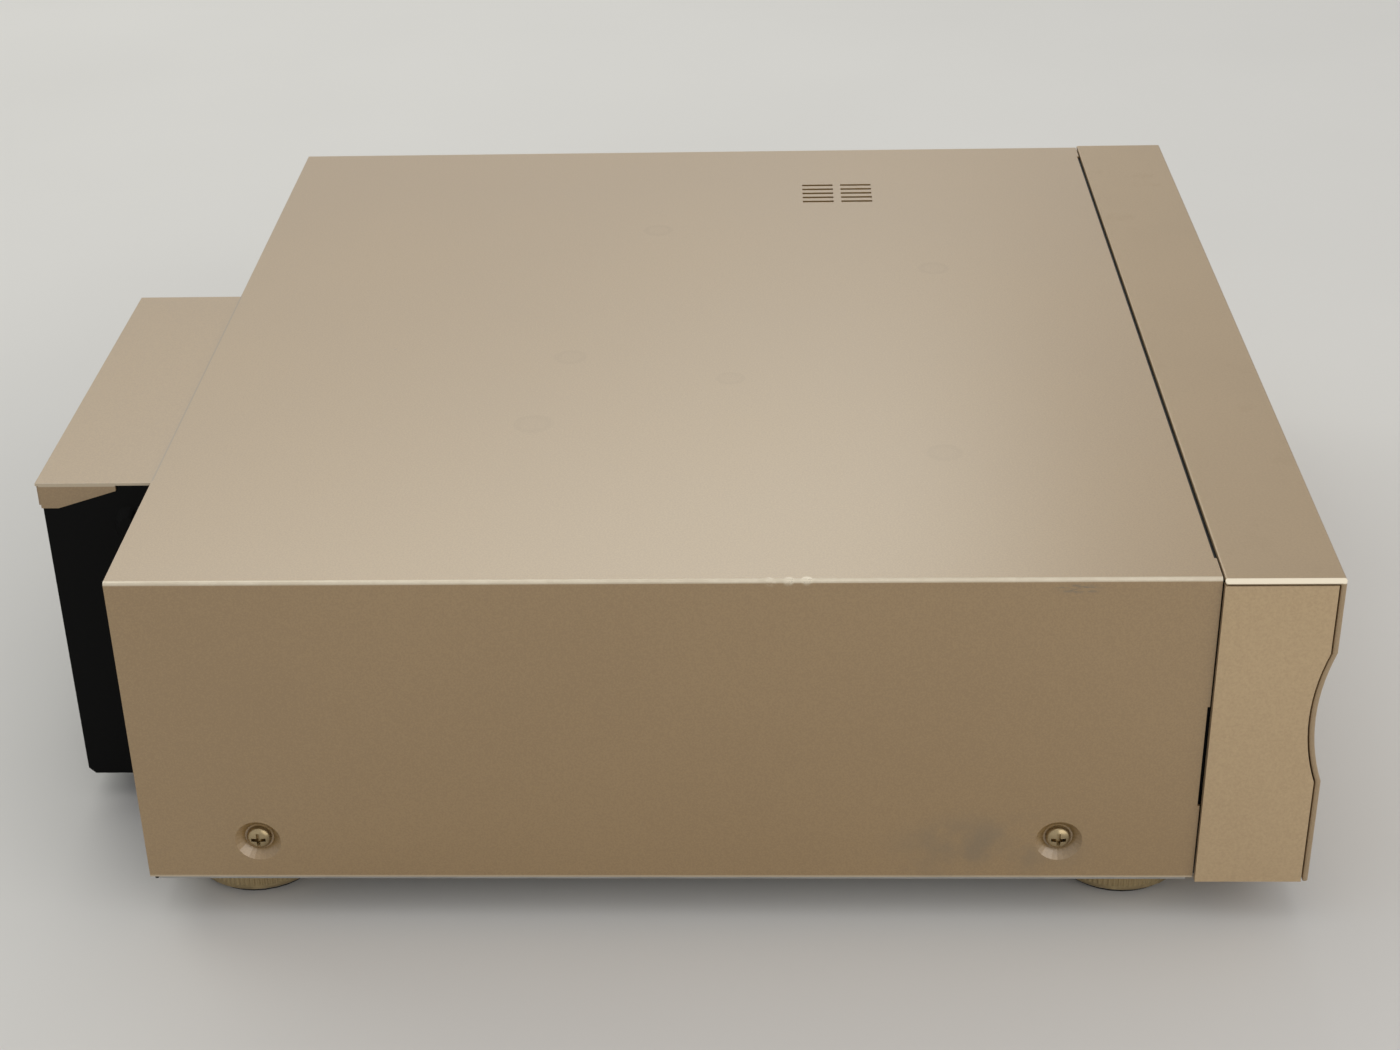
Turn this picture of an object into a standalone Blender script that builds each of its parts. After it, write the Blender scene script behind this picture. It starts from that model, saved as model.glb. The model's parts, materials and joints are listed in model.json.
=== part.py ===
# Laserdisc player: champagne metal casing, wide disc tray, and a both-side playing mechanism inside.
# Metres, +Z up. X runs across (+X is the player's right side seen from the front), the front faces -Y.
# The origin is under the middle of the player, on the surface that its feet stand on.
import math

import bmesh
import bpy
from mathutils import Matrix, Vector

# Clearances
GAP = 0.0003  # between pieces that touch
SLIDE_GAP = 0.0005  # beside a piece that slides
OVERRUN = 0.002  # how far a cut runs past the face it opens
WELD = 0.000001

# Casing
TRAY_HALF = 0.156
TRAY_SIDE_ROOM = 0.054  # half the width that the casing has beside the tray
WIDTH = 2 * (TRAY_HALF + TRAY_SIDE_ROOM)
FRONT_DEPTH = 0.0403
COVER_LENGTH = 0.3734
REAR_OVERHANG = 0.0432
COVER_SETBACK = 0.0018  # of the cover's sides behind the front panel's
COVER_WIDTH = WIDTH - 2 * COVER_SETBACK
COVER_SIDE_HEIGHT = 0.1226
COVER_LIFT = 0.018  # height of the cover's lower edge over the floor
COVER_SHEET = 0.001
COVER_BEND = 0.0012
FRONT_RISE = 0.0002
FRONT_DROP = 0.0006
SEAM = 0.0006

DEPTH = FRONT_DEPTH + COVER_LENGTH + REAR_OVERHANG
FRONT_Y = -DEPTH / 2
SEAM_Y = FRONT_Y + FRONT_DEPTH
COVER_REAR_Y = SEAM_Y + COVER_LENGTH
REAR_Y = DEPTH / 2
COVER_TOP = COVER_LIFT + COVER_SIDE_HEIGHT

# Step of the cover's rear extension, and its flanges
EXTENSION_LEFT = -0.1345
EXTENSION_RIGHT = 0.036
EXTENSION_STEP = 0.0008
EXTENSION_LAP = 0.006
REAR_FLANGE_DROP = 0.0095
TAB_START = 0.0137  # behind the cover's rear edge
TAB_KNEE = 0.0358
TAB_END = 0.0421
TAB_FRONT_DROP = 0.0032
TAB_DROP = 0.0102
TAB_NOTCH = 0.0014

# Cooling slots in the cover
VENT_ROWS = 5
VENT_GROUPS = 2
VENT_INSET = 0.059
VENT_X = COVER_WIDTH / 2 - VENT_INSET
VENT_Y = -0.0713
VENT_PITCH = 0.0052
VENT_SLOT = 0.002
VENT_LENGTH = 0.0142
VENT_GROUP_PITCH = 0.0177

# Side screws in their pressed dimples
SCREW_FRONT_Y = -0.1402
SCREW_REAR_Y = 0.1443
SCREW_Z = 0.0338
DIMPLE_RADIUS = 0.00825
DIMPLE_FLOOR_RADIUS = 0.0052
DIMPLE_DEPTH = 0.003
SCREW_HEAD_RADIUS = 0.0045
SCREW_HEAD_HEIGHT = 0.0024
SCREW_RADIUS = 0.0015
SCREW_LENGTH = 0.0055
SCREW_SLOT = 0.0011
SCREW_SLOT_DEPTH = 0.0012
SCREW_HOLE_GAP = 0.0005

# Front panel
FRONT_PLATE = 0.002
TOP_CHAMFER = 0.0013
RECESS_Z = 0.0862
RECESS_HALF = 0.026
RECESS_DEPTH = 0.0045
RECESS_STEPS = 14
CHEEK_THICKNESS = 0.003
CHEEK_GAP = 0.0005
FRONT_EDGE = 0.0007

# Base pan
PAN_UNDERSIDE = 0.014
PAN_SHEET = 0.0012
PAN_FLANGE_TOP = 0.048
PAN_FRONT_GAP = 0.0015

# Feet
FOOT_RADIUS = 0.0245
FOOT_INSET = 0.0385
FOOT_X = WIDTH / 2 - FOOT_INSET
FOOT_FRONT_Y = -0.1666
FOOT_REAR_Y = 0.1524
FOOT_PAD_THICKNESS = 0.0018
FOOT_PAD_INSET = 0.003
FOOT_SHOULDER = 0.0018

# Rear wall and rear housing
REAR_SHEET = 0.0012
REAR_INSET = 0.0004
HOUSING_LEFT = -0.1335
HOUSING_RIGHT = 0.0350
HOUSING_BOTTOM = 0.0115
HOUSING_WALL = 0.002
HOUSING_CHAMFER = 0.0025
HOUSING_REACH = 0.0418  # behind the cover's rear edge
HOUSING_BULGE_Y = 0.0110
HOUSING_BULGE_Z = 0.1215
HOUSING_BULGE_WIDTH = 0.006
HOUSING_BULGE_HEIGHT = 0.0095
HOUSING_BULGE_PROUD = 0.0022

# Disc and mechanism
DISC_RADIUS = 0.150
DISC_THICKNESS = 0.0025
MECH_X = -0.035
SPINDLE_Y = -0.032
DISC_Z = 0.0965
DECK_TOP = 0.060
DECK_SHEET = 0.0015
DECK_WALL_TOP = 0.0990
DECK_FRONT_GAP = 0.002  # behind the seam
DECK_REAR_Y = 0.1780
DECK_NOTCH_Y = 0.1400
DECK_POST_RADIUS = 0.005
DECK_POST_INSET = 0.016

# Tray
TRAY_TONGUE = 0.004
TRAY_TONGUE_HEIGHT = 0.003
TRAY_FLOOR = 0.003
TRAY_RIM = 0.0045
TRAY_DISC_MARGIN = 0.002
TRAY_DISC_DROP = 0.0015  # the tray's floor lies this far under the disc
TRAY_REAR_Y = 0.1250
TRAY_FRONT_INNER_Y = -0.2185
TRAY_RUNNER_WIDTH = 0.0085
TRAY_RUNNER_REAR_Y = 0.1760
TRAY_SLOT_HALF = 0.052
CD_RADIUS = 0.0605
CD_STEP = 0.0015
TRAY_OPENING_MARGIN = 0.0085
TRAY_OPENING_HALF = TRAY_HALF + TRAY_OPENING_MARGIN
TRAY_OPENING_BOTTOM = 0.0855
TRAY_OPENING_TOP = 0.1375
TRAY_OPENING_GAP = 0.0006
RAIL_LIP = 0.0022
RAIL_OUTER = 0.0037
RAIL_FRONT_Y = -0.2160

# Gears
GEAR_MODULE = 0.0015
LOADING_TEETH = 14
LOADING_PINION_TEETH = 10
TURN_TEETH = 50
TURN_PINION_TEETH = 10
TOOTH_PLAY = 0.0003
GEAR_WIDTH = 0.005
RACK_WIDTH = 0.006
LOADING_GEAR_Y = -0.180
GEAR_PIN_RADIUS = 0.002
MOTOR_RADIUS = 0.012
MOTOR_LENGTH = 0.024

# Spindle, turntable and clamp
SPINDLE_MOTOR_RADIUS = 0.028
SPINDLE_SHAFT_RADIUS = 0.003
TURNTABLE_RADIUS = 0.045
TURNTABLE_THICKNESS = 0.0038
TURNTABLE_HUB_RADIUS = 0.0172
BRIDGE_TOP = 0.1270
BRIDGE_SHEET = 0.0015
BRIDGE_FRONT = 0.060  # ahead of the spindle
BRIDGE_REAR = 0.020  # behind the spindle
CLAMP_PIVOT_AHEAD = 0.052
CLAMP_PIVOT_Z = 0.1195
CLAMPER_RADIUS = 0.023
CLAMPER_THICKNESS = 0.004
CLAMPER_LIFT = 0.005
CLAMP_ARM_SHEET = 0.002

# Pickup, its rails and the turnover cradle
RAIL_RADIUS = 0.0025
RAIL_X = 0.038
RAIL_OFFSET = 0.016  # of the rails over and under the disc
PICKUP_LENGTH = 0.040
PICKUP_HALF = 0.028
PICKUP_HEIGHT = 0.0205
PICKUP_CLEAR = 0.0035  # from the disc's middle plane
PICKUP_OUT = 0.157  # from the spindle to the pickup's middle
LENS_RADIUS = 0.005
LENS_AHEAD = 0.012
LENS_WELL = 0.004
LENS_WELL_GAP = 0.0014
LENS_FLOAT = 0.0007
LENS_PROUD = 0.0015
TURN_Y = 0.1830
TURN_RADIUS = 0.0355
TURN_DISC_X = 0.046
TURN_DISC = 0.0025
TURN_PIN_RADIUS = 0.003
TURN_PLATE_X = 0.050
TURN_PLATE = 0.002
FEED_SCREW_X = 0.030
FEED_SCREW_Z = 0.0675
FEED_SCREW_RADIUS = 0.0025
FEED_MOTOR_RADIUS = 0.007
FEED_MOTOR_LENGTH = 0.0175

# Boards and power supply
BOARD = 0.0016
BOARD_LIFT = 0.006
TRANSFORMER_INSET = 0.0392
TRANSFORMER_X = COVER_WIDTH / 2 - TRANSFORMER_INSET

# Front controls
WINDOW_LEFT = -0.118
WINDOW_RIGHT = 0.048
WINDOW_BOTTOM = 0.0615
WINDOW_TOP = 0.0805
BUTTON_GAP = 0.0004
BUTTON_FLANGE = 0.0012
BUTTON_LIP = 0.0012
BUTTON_REST = 0.0004  # flush buttons lie this far behind the face
KEY_WIDTH = 0.015
KEY_HEIGHT = 0.0075
PLAY_WIDTH = 0.024
KEY_ROW_X = 0.0680
KEY_PITCH = 0.0205
KEY_UPPER_Z = 0.0765
KEY_LOWER_Z = 0.0655
KEY_PROUD = 0.0010
POWER_INSET = 0.027
POWER_X = POWER_INSET - WIDTH / 2
OPEN_INSET = 0.040
OPEN_X = WIDTH / 2 - OPEN_INSET
OPEN_Z = 0.1210
POWER_Z = 0.0400


def collection(name):
    made = bpy.data.collections.new(name)
    bpy.context.scene.collection.children.link(made)
    return made


def material(name, color, roughness, metallic=0.0):
    made = bpy.data.materials.new(name)
    made.use_nodes = True
    shader = made.node_tree.nodes["Principled BSDF"]
    shader.inputs["Base Color"].default_value = (*color, 1.0)
    shader.inputs["Roughness"].default_value = roughness
    shader.inputs["Metallic"].default_value = metallic
    return made


def clear_scene():
    for obj in list(bpy.data.objects):
        bpy.data.objects.remove(obj, do_unlink=True)


clear_scene()
PLAYER = collection("laserdisc_player")
CUTTERS = collection("cutters")

CHAMPAGNE = material("champagne_paint", (0.50, 0.43, 0.34), 0.42, 0.55)
CHAMPAGNE_FRONT = material("champagne_front", (0.46, 0.39, 0.31), 0.45, 0.55)
BLACK_PLASTIC = material("black_plastic", (0.010, 0.010, 0.011), 0.45)
BLACK_STEEL = material("black_steel", (0.025, 0.025, 0.027), 0.5, 0.4)
STEEL = material("plated_steel", (0.55, 0.55, 0.53), 0.35, 1.0)
BRIGHT_STEEL = material("bright_steel", (0.68, 0.67, 0.65), 0.2, 1.0)
GOLD_FOOT = material("foot_metal", (0.52, 0.43, 0.30), 0.32, 0.8)
RUBBER = material("rubber", (0.02, 0.02, 0.02), 0.85)
SMOKED = material("smoked_window", (0.008, 0.008, 0.010), 0.08)
TRAY_GREY = material("tray_grey", (0.10, 0.10, 0.105), 0.5)
NATURAL_PLASTIC = material("white_plastic", (0.72, 0.70, 0.64), 0.45)
BOARD_GREEN = material("board_green", (0.035, 0.13, 0.06), 0.5)
BOARD_TAN = material("board_tan", (0.42, 0.29, 0.13), 0.55)
IRON = material("transformer_iron", (0.16, 0.15, 0.14), 0.5, 0.7)
LENS_GLASS = material("lens_glass", (0.25, 0.20, 0.42), 0.05)
SMOOTH_ANGLE = math.radians(35)


def place(name, mesh, centre, look, home=None):
    obj = bpy.data.objects.new(name, mesh)
    (home or (PLAYER if look else CUTTERS)).objects.link(obj)
    obj.location = centre
    if look:
        mesh.materials.clear()
        mesh.materials.append(look)
    else:
        obj.hide_render = True
        obj.display_type = "WIRE"
    return obj


def block(name, low, high, look=None, at=None):
    """A box between two corners, with its origin at its middle or at the point given."""
    low, high = Vector(low), Vector(high)
    middle = (low + high) / 2
    origin = middle if at is None else Vector(at)
    shape = Matrix.Translation(middle - origin) @ Matrix.Diagonal((*(high - low), 1.0))
    mesh = bpy.data.meshes.new(name)
    build = bmesh.new()
    bmesh.ops.create_cube(build, size=1.0, matrix=shape)
    build.to_mesh(mesh)
    build.free()
    return place(name, mesh, origin, look)


TURNS = {
    "X": Matrix.Rotation(math.pi / 2, 4, "Y"),
    "Y": Matrix.Rotation(-math.pi / 2, 4, "X"),
    "Z": Matrix.Identity(4),
}


def rod(name, radius, start, end, axis="Z", look=None, sides=24, end_radius=None, at=None):
    """A cylinder or a cone frustum along an axis, from one end's centre to the other's coordinate."""
    start = Vector(start)
    index = "XYZ".index(axis)
    length = end - start[index]
    middle = start.copy()
    middle[index] += length / 2
    origin = middle if at is None else Vector(at)
    flip = Matrix.Scale(math.copysign(1.0, length), 4, (0, 0, 1))
    mesh = bpy.data.meshes.new(name)
    build = bmesh.new()
    bmesh.ops.create_cone(
        build,
        cap_ends=True,
        segments=sides,
        radius1=radius,
        radius2=radius if end_radius is None else end_radius,
        depth=abs(length),
        matrix=Matrix.Translation(middle - origin) @ TURNS[axis] @ flip,
    )
    bmesh.ops.recalc_face_normals(build, faces=build.faces)
    build.to_mesh(mesh)
    build.free()
    smooth(mesh)
    return place(name, mesh, origin, look)


def smooth(mesh):
    mesh.shade_smooth()
    mesh.set_sharp_from_angle(angle=SMOOTH_ANGLE)


FACINGS = {
    "X": Matrix(((0, 0, 1), (1, 0, 0), (0, 1, 0))).to_4x4(),  # outline in Y and Z
    "Y": Matrix(((1, 0, 0), (0, 0, -1), (0, 1, 0))).to_4x4(),  # outline in X and Z
    "Z": Matrix.Identity(4),  # outline in X and Y
}


def outline(name, points, low, high, facing="Z", look=None, at=(0, 0, 0)):
    """A flat outline with a thickness from low to high along the axis that it faces."""
    curve = bpy.data.curves.new(name, "CURVE")
    curve.dimensions = "2D"
    curve.fill_mode = "BOTH"
    curve.extrude = (high - low) / 2
    line = curve.splines.new("POLY")
    line.points.add(len(points) - 1)
    for point, (u, v) in zip(line.points, points):
        point.co = (u, v, 0, 1)
    line.use_cyclic_u = True
    drawn = bpy.data.objects.new(name + "_drawn", curve)
    PLAYER.objects.link(drawn)
    bpy.context.view_layer.update()
    graph = bpy.context.evaluated_depsgraph_get()
    mesh = bpy.data.meshes.new_from_object(drawn.evaluated_get(graph))
    bpy.data.objects.remove(drawn, do_unlink=True)
    build = bmesh.new()
    build.from_mesh(mesh)
    bmesh.ops.remove_doubles(build, verts=build.verts, dist=WELD)
    for sign in (-1, 1):
        cap = [face for face in build.faces if all(sign * corner.co.z > 0 for corner in face.verts)]
        bmesh.ops.dissolve_faces(build, faces=cap)
    index = "XYZ".index(facing)
    shift = Vector((0, 0, 0))
    shift[index] = (low + high) / 2
    shape = Matrix.Translation(shift - Vector(at)) @ FACINGS[facing]
    bmesh.ops.transform(build, matrix=shape, verts=build.verts)
    bmesh.ops.recalc_face_normals(build, faces=build.faces)
    build.to_mesh(mesh)
    build.free()
    smooth(mesh)
    return place(name, mesh, at, look)


def turned(name, profile, centre, look=None, steps=32):
    """A profile of (radius, height) pairs, from the top to the bottom, turned about Z."""
    mesh = bpy.data.meshes.new(name)
    build = bmesh.new()
    corners = [build.verts.new((radius, 0, height)) for radius, height in profile]
    for first, second in zip(corners, corners[1:]):
        build.edges.new((first, second))
    build.to_mesh(mesh)
    build.free()
    obj = place(name, mesh, centre, look)
    screw = obj.modifiers.new("turn", "SCREW")
    screw.steps = steps
    screw.render_steps = steps
    screw.use_merge_vertices = True
    screw.merge_threshold = WELD
    screw.use_smooth_shade = False
    return obj


def boolean(target, operation, others):
    for other in others:
        step = target.modifiers.new(operation.lower(), "BOOLEAN")
        step.operation = operation
        step.solver = "EXACT"
        step.object = other
        if CUTTERS.objects.get(other.name) is None:
            PLAYER.objects.unlink(other)
            CUTTERS.objects.link(other)
        other.hide_render = True
        other.display_type = "WIRE"
    return target


def join(target, *others):
    return boolean(target, "UNION", others)


def cut(target, *others):
    return boolean(target, "DIFFERENCE", others)


def keep(target, *others):
    return boolean(target, "INTERSECT", others)


def round_edges(obj, width, segments=1, angle=math.radians(40)):
    bevel = obj.modifiers.new("round_edges", "BEVEL")
    bevel.width = width
    bevel.segments = segments
    bevel.limit_method = "ANGLE"
    bevel.angle_limit = angle
    return obj


def arc(radius, start, end, steps, centre=(0.0, 0.0)):
    """Points on an arc, with both ends, angles in radians."""
    return [
        (
            centre[0] + radius * math.cos(start + (end - start) * step / steps),
            centre[1] + radius * math.sin(start + (end - start) * step / steps),
        )
        for step in range(steps + 1)
    ]


# Front panel, its end cheeks and the frame behind it
FRONT_TOP = COVER_TOP + FRONT_RISE
FRONT_BOTTOM = COVER_LIFT - FRONT_DROP
FRONT_BACK = SEAM_Y - SEAM
RECESS_RADIUS = (RECESS_HALF**2 + RECESS_DEPTH**2) / (2 * RECESS_DEPTH)
RECESS_ANGLE = math.asin(RECESS_HALF / RECESS_RADIUS)
FRONT_LIP_DEPTH = 0.012
FRONT_FLOOR_DEPTH = 0.0313
FRAME_HALF = COVER_WIDTH / 2 - COVER_SHEET - DIMPLE_DEPTH - GAP - PAN_SHEET - GAP
FRAME_AHEAD = 0.008
FRAME_BEHIND = 0.012
FRAME_SHEET = 0.0008
PAN_TOP = PAN_UNDERSIDE + PAN_SHEET
FRAME_BOTTOM = PAN_TOP + GAP
FRAME_TOP = FRONT_TOP - FRONT_PLATE - GAP
FRAME_WINDOW_BOTTOM = 0.050
FRAME_WINDOW_MARGIN = 0.003


def front_face(inset):
    """Points down the front's face, from its top to its bottom, moved inwards."""
    middle = FRONT_Y + RECESS_DEPTH - RECESS_RADIUS
    curve = arc(RECESS_RADIUS, RECESS_ANGLE, -RECESS_ANGLE, RECESS_STEPS, (middle, RECESS_Z))
    return [(y + inset, z) for y, z in curve]


def front_bar(name, inset, thickness, half, look=None):
    """The shape of the front plate, from inset to inset plus thickness behind the face."""
    outer = [(FRONT_Y + inset, FRONT_TOP), *front_face(inset), (FRONT_Y + inset, FRONT_BOTTOM)]
    inner = [(y + thickness, z) for y, z in outer]
    return outline(name, outer + inner[::-1], -half, half, "X", look)


def top_chamfers():
    """The corners that the panel's top loses along its two side edges."""
    reach = TOP_CHAMFER + OVERRUN
    chamfers = []
    for side in (-1, 1):
        edge = side * WIDTH / 2
        past = edge + side * OVERRUN
        above = FRONT_TOP + OVERRUN
        shape = [(edge - side * reach, above), (past, above), (past, FRONT_TOP - reach)]
        chamfers.append(
            outline(f"top_chamfer_{side}", shape, FRONT_Y - OVERRUN, FRONT_BACK + OVERRUN, "Y")
        )
    return chamfers


def make_front_panel():
    plate = [(FRONT_Y, FRONT_TOP), *front_face(0), (FRONT_Y, FRONT_BOTTOM)]
    inner = [(FRONT_Y + FRONT_PLATE, FRONT_BOTTOM)]
    inner += [(y, z) for y, z in front_face(FRONT_PLATE)[::-1]]
    inner += [(FRONT_Y + FRONT_PLATE, FRONT_TOP - FRONT_PLATE), (FRONT_BACK, FRONT_TOP - FRONT_PLATE)]
    shape = plate + inner + [(FRONT_BACK, FRONT_TOP)]
    panel = outline("front_panel", shape, -WIDTH / 2, WIDTH / 2, "X", CHAMPAGNE_FRONT)
    round_edges(panel, FRONT_EDGE, 2, math.radians(60))
    inside = WIDTH / 2 - CHEEK_THICKNESS - CHEEK_GAP
    lip = block(
        "front_lip",
        (-inside, FRONT_Y + FRONT_PLATE / 2, FRONT_BOTTOM + FRONT_EDGE),
        (inside, FRONT_Y + FRONT_FLOOR_DEPTH, FRONT_BOTTOM + FRONT_EDGE + FRONT_PLATE),
    )
    join(panel, lip)
    opening = block(
        "tray_opening",
        (MECH_X - TRAY_OPENING_HALF, FRONT_Y - OVERRUN, TRAY_OPENING_BOTTOM),
        (MECH_X + TRAY_OPENING_HALF, FRONT_Y + FRONT_LIP_DEPTH, TRAY_OPENING_TOP),
    )
    window = block(
        "window_opening",
        (WINDOW_LEFT, FRONT_Y - OVERRUN, WINDOW_BOTTOM),
        (WINDOW_RIGHT, FRONT_Y + FRONT_LIP_DEPTH, WINDOW_TOP),
    )
    return cut(panel, opening, window, *top_chamfers())


def make_cheek(side, word):
    outer = side * WIDTH / 2
    inner = outer - side * CHEEK_THICKNESS
    front = [(y, z) for y, z in front_face(FRONT_PLATE + CHEEK_GAP)]
    front_y = FRONT_Y + FRONT_PLATE + CHEEK_GAP
    top = FRONT_TOP - FRONT_PLATE - GAP
    shape = [(FRONT_BACK, top), (front_y, top), *front, (front_y, FRONT_BOTTOM), (FRONT_BACK, FRONT_BOTTOM)]
    low, high = sorted((inner, outer))
    return outline("front_cheek_" + word, shape, low, high, "X", CHAMPAGNE)


def make_front_frame():
    """A ring that joins the front panel to the pan and the cover, with a web that has the tray's window."""
    front = SEAM_Y - FRAME_AHEAD
    back = SEAM_Y + FRAME_BEHIND
    low = (-FRAME_HALF, front, FRAME_BOTTOM)
    frame = block("front_frame", low, (FRAME_HALF, back, FRAME_TOP), BLACK_STEEL)
    hollow = block(
        "frame_hollow",
        (-FRAME_HALF + FRAME_SHEET, front + FRAME_SHEET, FRAME_BOTTOM + FRAME_SHEET),
        (FRAME_HALF - FRAME_SHEET, back + OVERRUN, FRAME_TOP - FRAME_SHEET),
    )
    tray_half = TRAY_OPENING_HALF + FRAME_WINDOW_MARGIN
    window = block(
        "frame_window",
        (max(MECH_X - tray_half, -FRAME_HALF + FRAME_SHEET), front - OVERRUN, FRAME_WINDOW_BOTTOM),
        (MECH_X + tray_half, front + FRAME_SHEET + OVERRUN, FRAME_TOP - FRAME_SHEET),
    )
    return cut(frame, hollow, window)


def make_window():
    """The dark window over the display lies in the front plate, flush with its curved face."""
    window = front_bar("display_window", GAP, FRONT_PLATE, WIDTH / 2, SMOKED)
    limits = block(
        "window_limits",
        (WINDOW_LEFT + GAP, FRONT_Y - OVERRUN, WINDOW_BOTTOM + GAP),
        (WINDOW_RIGHT - GAP, FRONT_Y + FRONT_LIP_DEPTH, WINDOW_TOP - GAP),
    )
    return keep(window, limits)


# Cover
COVER_HALF = COVER_WIDTH / 2
DIMPLE_WALL = 0.0008
RELIEF_DEPTH = 0.0008
RELIEF_SIDE_BOTTOM = 0.049
RELIEF_SIDE_TOP = 0.090
RELIEF_TOP_MARGIN = 0.0135
SCREW_PLACES = [
    (side, y, word + "_" + end)
    for side, word in ((-1, "left"), (1, "right"))
    for y, end in ((SCREW_FRONT_Y, "front"), (SCREW_REAR_Y, "rear"))
]


def sheet_along_y(name, points, start, end, thickness, look=None):
    """An open sheet through points in X and Z, run along Y and given its thickness on its inner side."""
    mesh = bpy.data.meshes.new(name)
    build = bmesh.new()
    corners = [build.verts.new((x, start, z)) for x, z in points]
    edges = [build.edges.new(pair) for pair in zip(corners, corners[1:])]
    moved = bmesh.ops.extrude_edge_only(build, edges=edges)["geom"]
    ends = [part for part in moved if isinstance(part, bmesh.types.BMVert)]
    bmesh.ops.translate(build, verts=ends, vec=(0, end - start, 0))
    bmesh.ops.recalc_face_normals(build, faces=build.faces)
    build.to_mesh(mesh)
    build.free()
    obj = place(name, mesh, (0, 0, 0), look)
    solid = obj.modifiers.new("sheet", "SOLIDIFY")
    solid.thickness = thickness
    solid.offset = -1
    return obj


def bent_corner(x, z, side, radius, steps=3):
    """Points round a bend whose sharp corner would lie at x and z, with the sheet going down from it."""
    centre = (x - side * radius, z - radius)
    if side < 0:
        return arc(radius, math.pi, math.pi / 2, steps, centre)
    return arc(radius, math.pi / 2, 0, steps, centre)


def make_cover():
    profile = [(-COVER_HALF, COVER_LIFT)]
    profile += bent_corner(-COVER_HALF, COVER_TOP, -1, COVER_BEND)
    profile += bent_corner(COVER_HALF, COVER_TOP, 1, COVER_BEND)
    profile += [(COVER_HALF, COVER_LIFT)]
    cover = sheet_along_y("top_cover", profile, SEAM_Y, COVER_REAR_Y, COVER_SHEET, CHAMPAGNE)
    join(cover, *extension_pieces())
    for side, y, word in SCREW_PLACES:
        outer = side * COVER_HALF
        floor = outer - side * DIMPLE_DEPTH
        boss = rod(
            "dimple_boss_" + word,
            DIMPLE_RADIUS + DIMPLE_WALL,
            (outer - side * DIMPLE_WALL, y, SCREW_Z),
            floor - side * COVER_SHEET,
            "X",
            end_radius=DIMPLE_FLOOR_RADIUS + DIMPLE_WALL,
        )
        join(cover, boss)
    for side, y, word in SCREW_PLACES:
        outer = side * COVER_HALF
        floor = outer - side * DIMPLE_DEPTH
        slope = (DIMPLE_RADIUS - DIMPLE_FLOOR_RADIUS) / DIMPLE_DEPTH
        dimple = rod(
            "dimple_" + word,
            DIMPLE_RADIUS + OVERRUN * slope,
            (outer + side * OVERRUN, y, SCREW_Z),
            floor,
            "X",
            end_radius=DIMPLE_FLOOR_RADIUS,
        )
        hole = rod(
            "cover_hole_" + word,
            SCREW_RADIUS + SCREW_HOLE_GAP,
            (outer, y, SCREW_Z),
            floor - side * (COVER_SHEET + OVERRUN),
            "X",
            sides=16,
        )
        cut(cover, dimple, hole)
    cut(cover, *vent_slots(), *seam_reliefs())
    return cover


def extension_pieces():
    """The cover's rear step: a sheet a little lower than the top, with side tabs and a rear flange."""
    top = COVER_TOP - EXTENSION_STEP
    inner = top - COVER_SHEET
    sheet = block(
        "extension_sheet",
        (EXTENSION_LEFT, COVER_REAR_Y - EXTENSION_LAP, inner),
        (EXTENSION_RIGHT, REAR_Y, top),
    )
    lap = block(
        "extension_lap",
        (EXTENSION_LEFT, COVER_REAR_Y - EXTENSION_LAP, inner),
        (EXTENSION_RIGHT, COVER_REAR_Y - COVER_SHEET, COVER_TOP - COVER_SHEET / 2),
    )
    flange = block(
        "extension_flange",
        (EXTENSION_LEFT + TAB_NOTCH, REAR_Y - COVER_SHEET, top - REAR_FLANGE_DROP),
        (EXTENSION_RIGHT - TAB_NOTCH, REAR_Y, top - COVER_SHEET / 2),
    )
    tab = [
        (COVER_REAR_Y + TAB_START, top - COVER_SHEET / 2),
        (COVER_REAR_Y + TAB_START, top - TAB_FRONT_DROP),
        (COVER_REAR_Y + TAB_KNEE, top - TAB_DROP),
        (COVER_REAR_Y + TAB_END, top - TAB_DROP),
        (COVER_REAR_Y + TAB_END, top - COVER_SHEET / 2),
    ]
    left = outline("tab_left", tab, EXTENSION_LEFT, EXTENSION_LEFT + COVER_SHEET, "X")
    right = outline("tab_right", tab, EXTENSION_RIGHT - COVER_SHEET, EXTENSION_RIGHT, "X")
    return sheet, lap, flange, left, right


def vent_slots():
    slots = []
    for group in range(VENT_GROUPS):
        y = VENT_Y + (group - (VENT_GROUPS - 1) / 2) * VENT_GROUP_PITCH
        for row in range(VENT_ROWS):
            x = VENT_X + (row - (VENT_ROWS - 1) / 2) * VENT_PITCH
            slots.append(
                block(
                    f"vent_{group}_{row}",
                    (x - VENT_SLOT / 2, y - VENT_LENGTH / 2, COVER_TOP - COVER_SHEET - OVERRUN),
                    (x + VENT_SLOT / 2, y + VENT_LENGTH / 2, COVER_TOP + OVERRUN),
                )
            )
    return slots


def seam_reliefs():
    """The cover's front edge is set back a little along the top and along part of each side."""
    back = SEAM_Y + RELIEF_DEPTH
    inside = COVER_HALF - RELIEF_TOP_MARGIN
    reach = COVER_SHEET + OVERRUN
    return [
        block(
            "relief_top",
            (-inside, SEAM_Y - OVERRUN, COVER_TOP - reach),
            (inside, back, COVER_TOP + OVERRUN),
        ),
        block(
            "relief_left",
            (-COVER_HALF - OVERRUN, SEAM_Y - OVERRUN, RELIEF_SIDE_BOTTOM),
            (-COVER_HALF + reach, back, RELIEF_SIDE_TOP),
        ),
        block(
            "relief_right",
            (COVER_HALF - reach, SEAM_Y - OVERRUN, RELIEF_SIDE_BOTTOM),
            (COVER_HALF + OVERRUN, back, RELIEF_SIDE_TOP),
        ),
    ]


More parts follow.
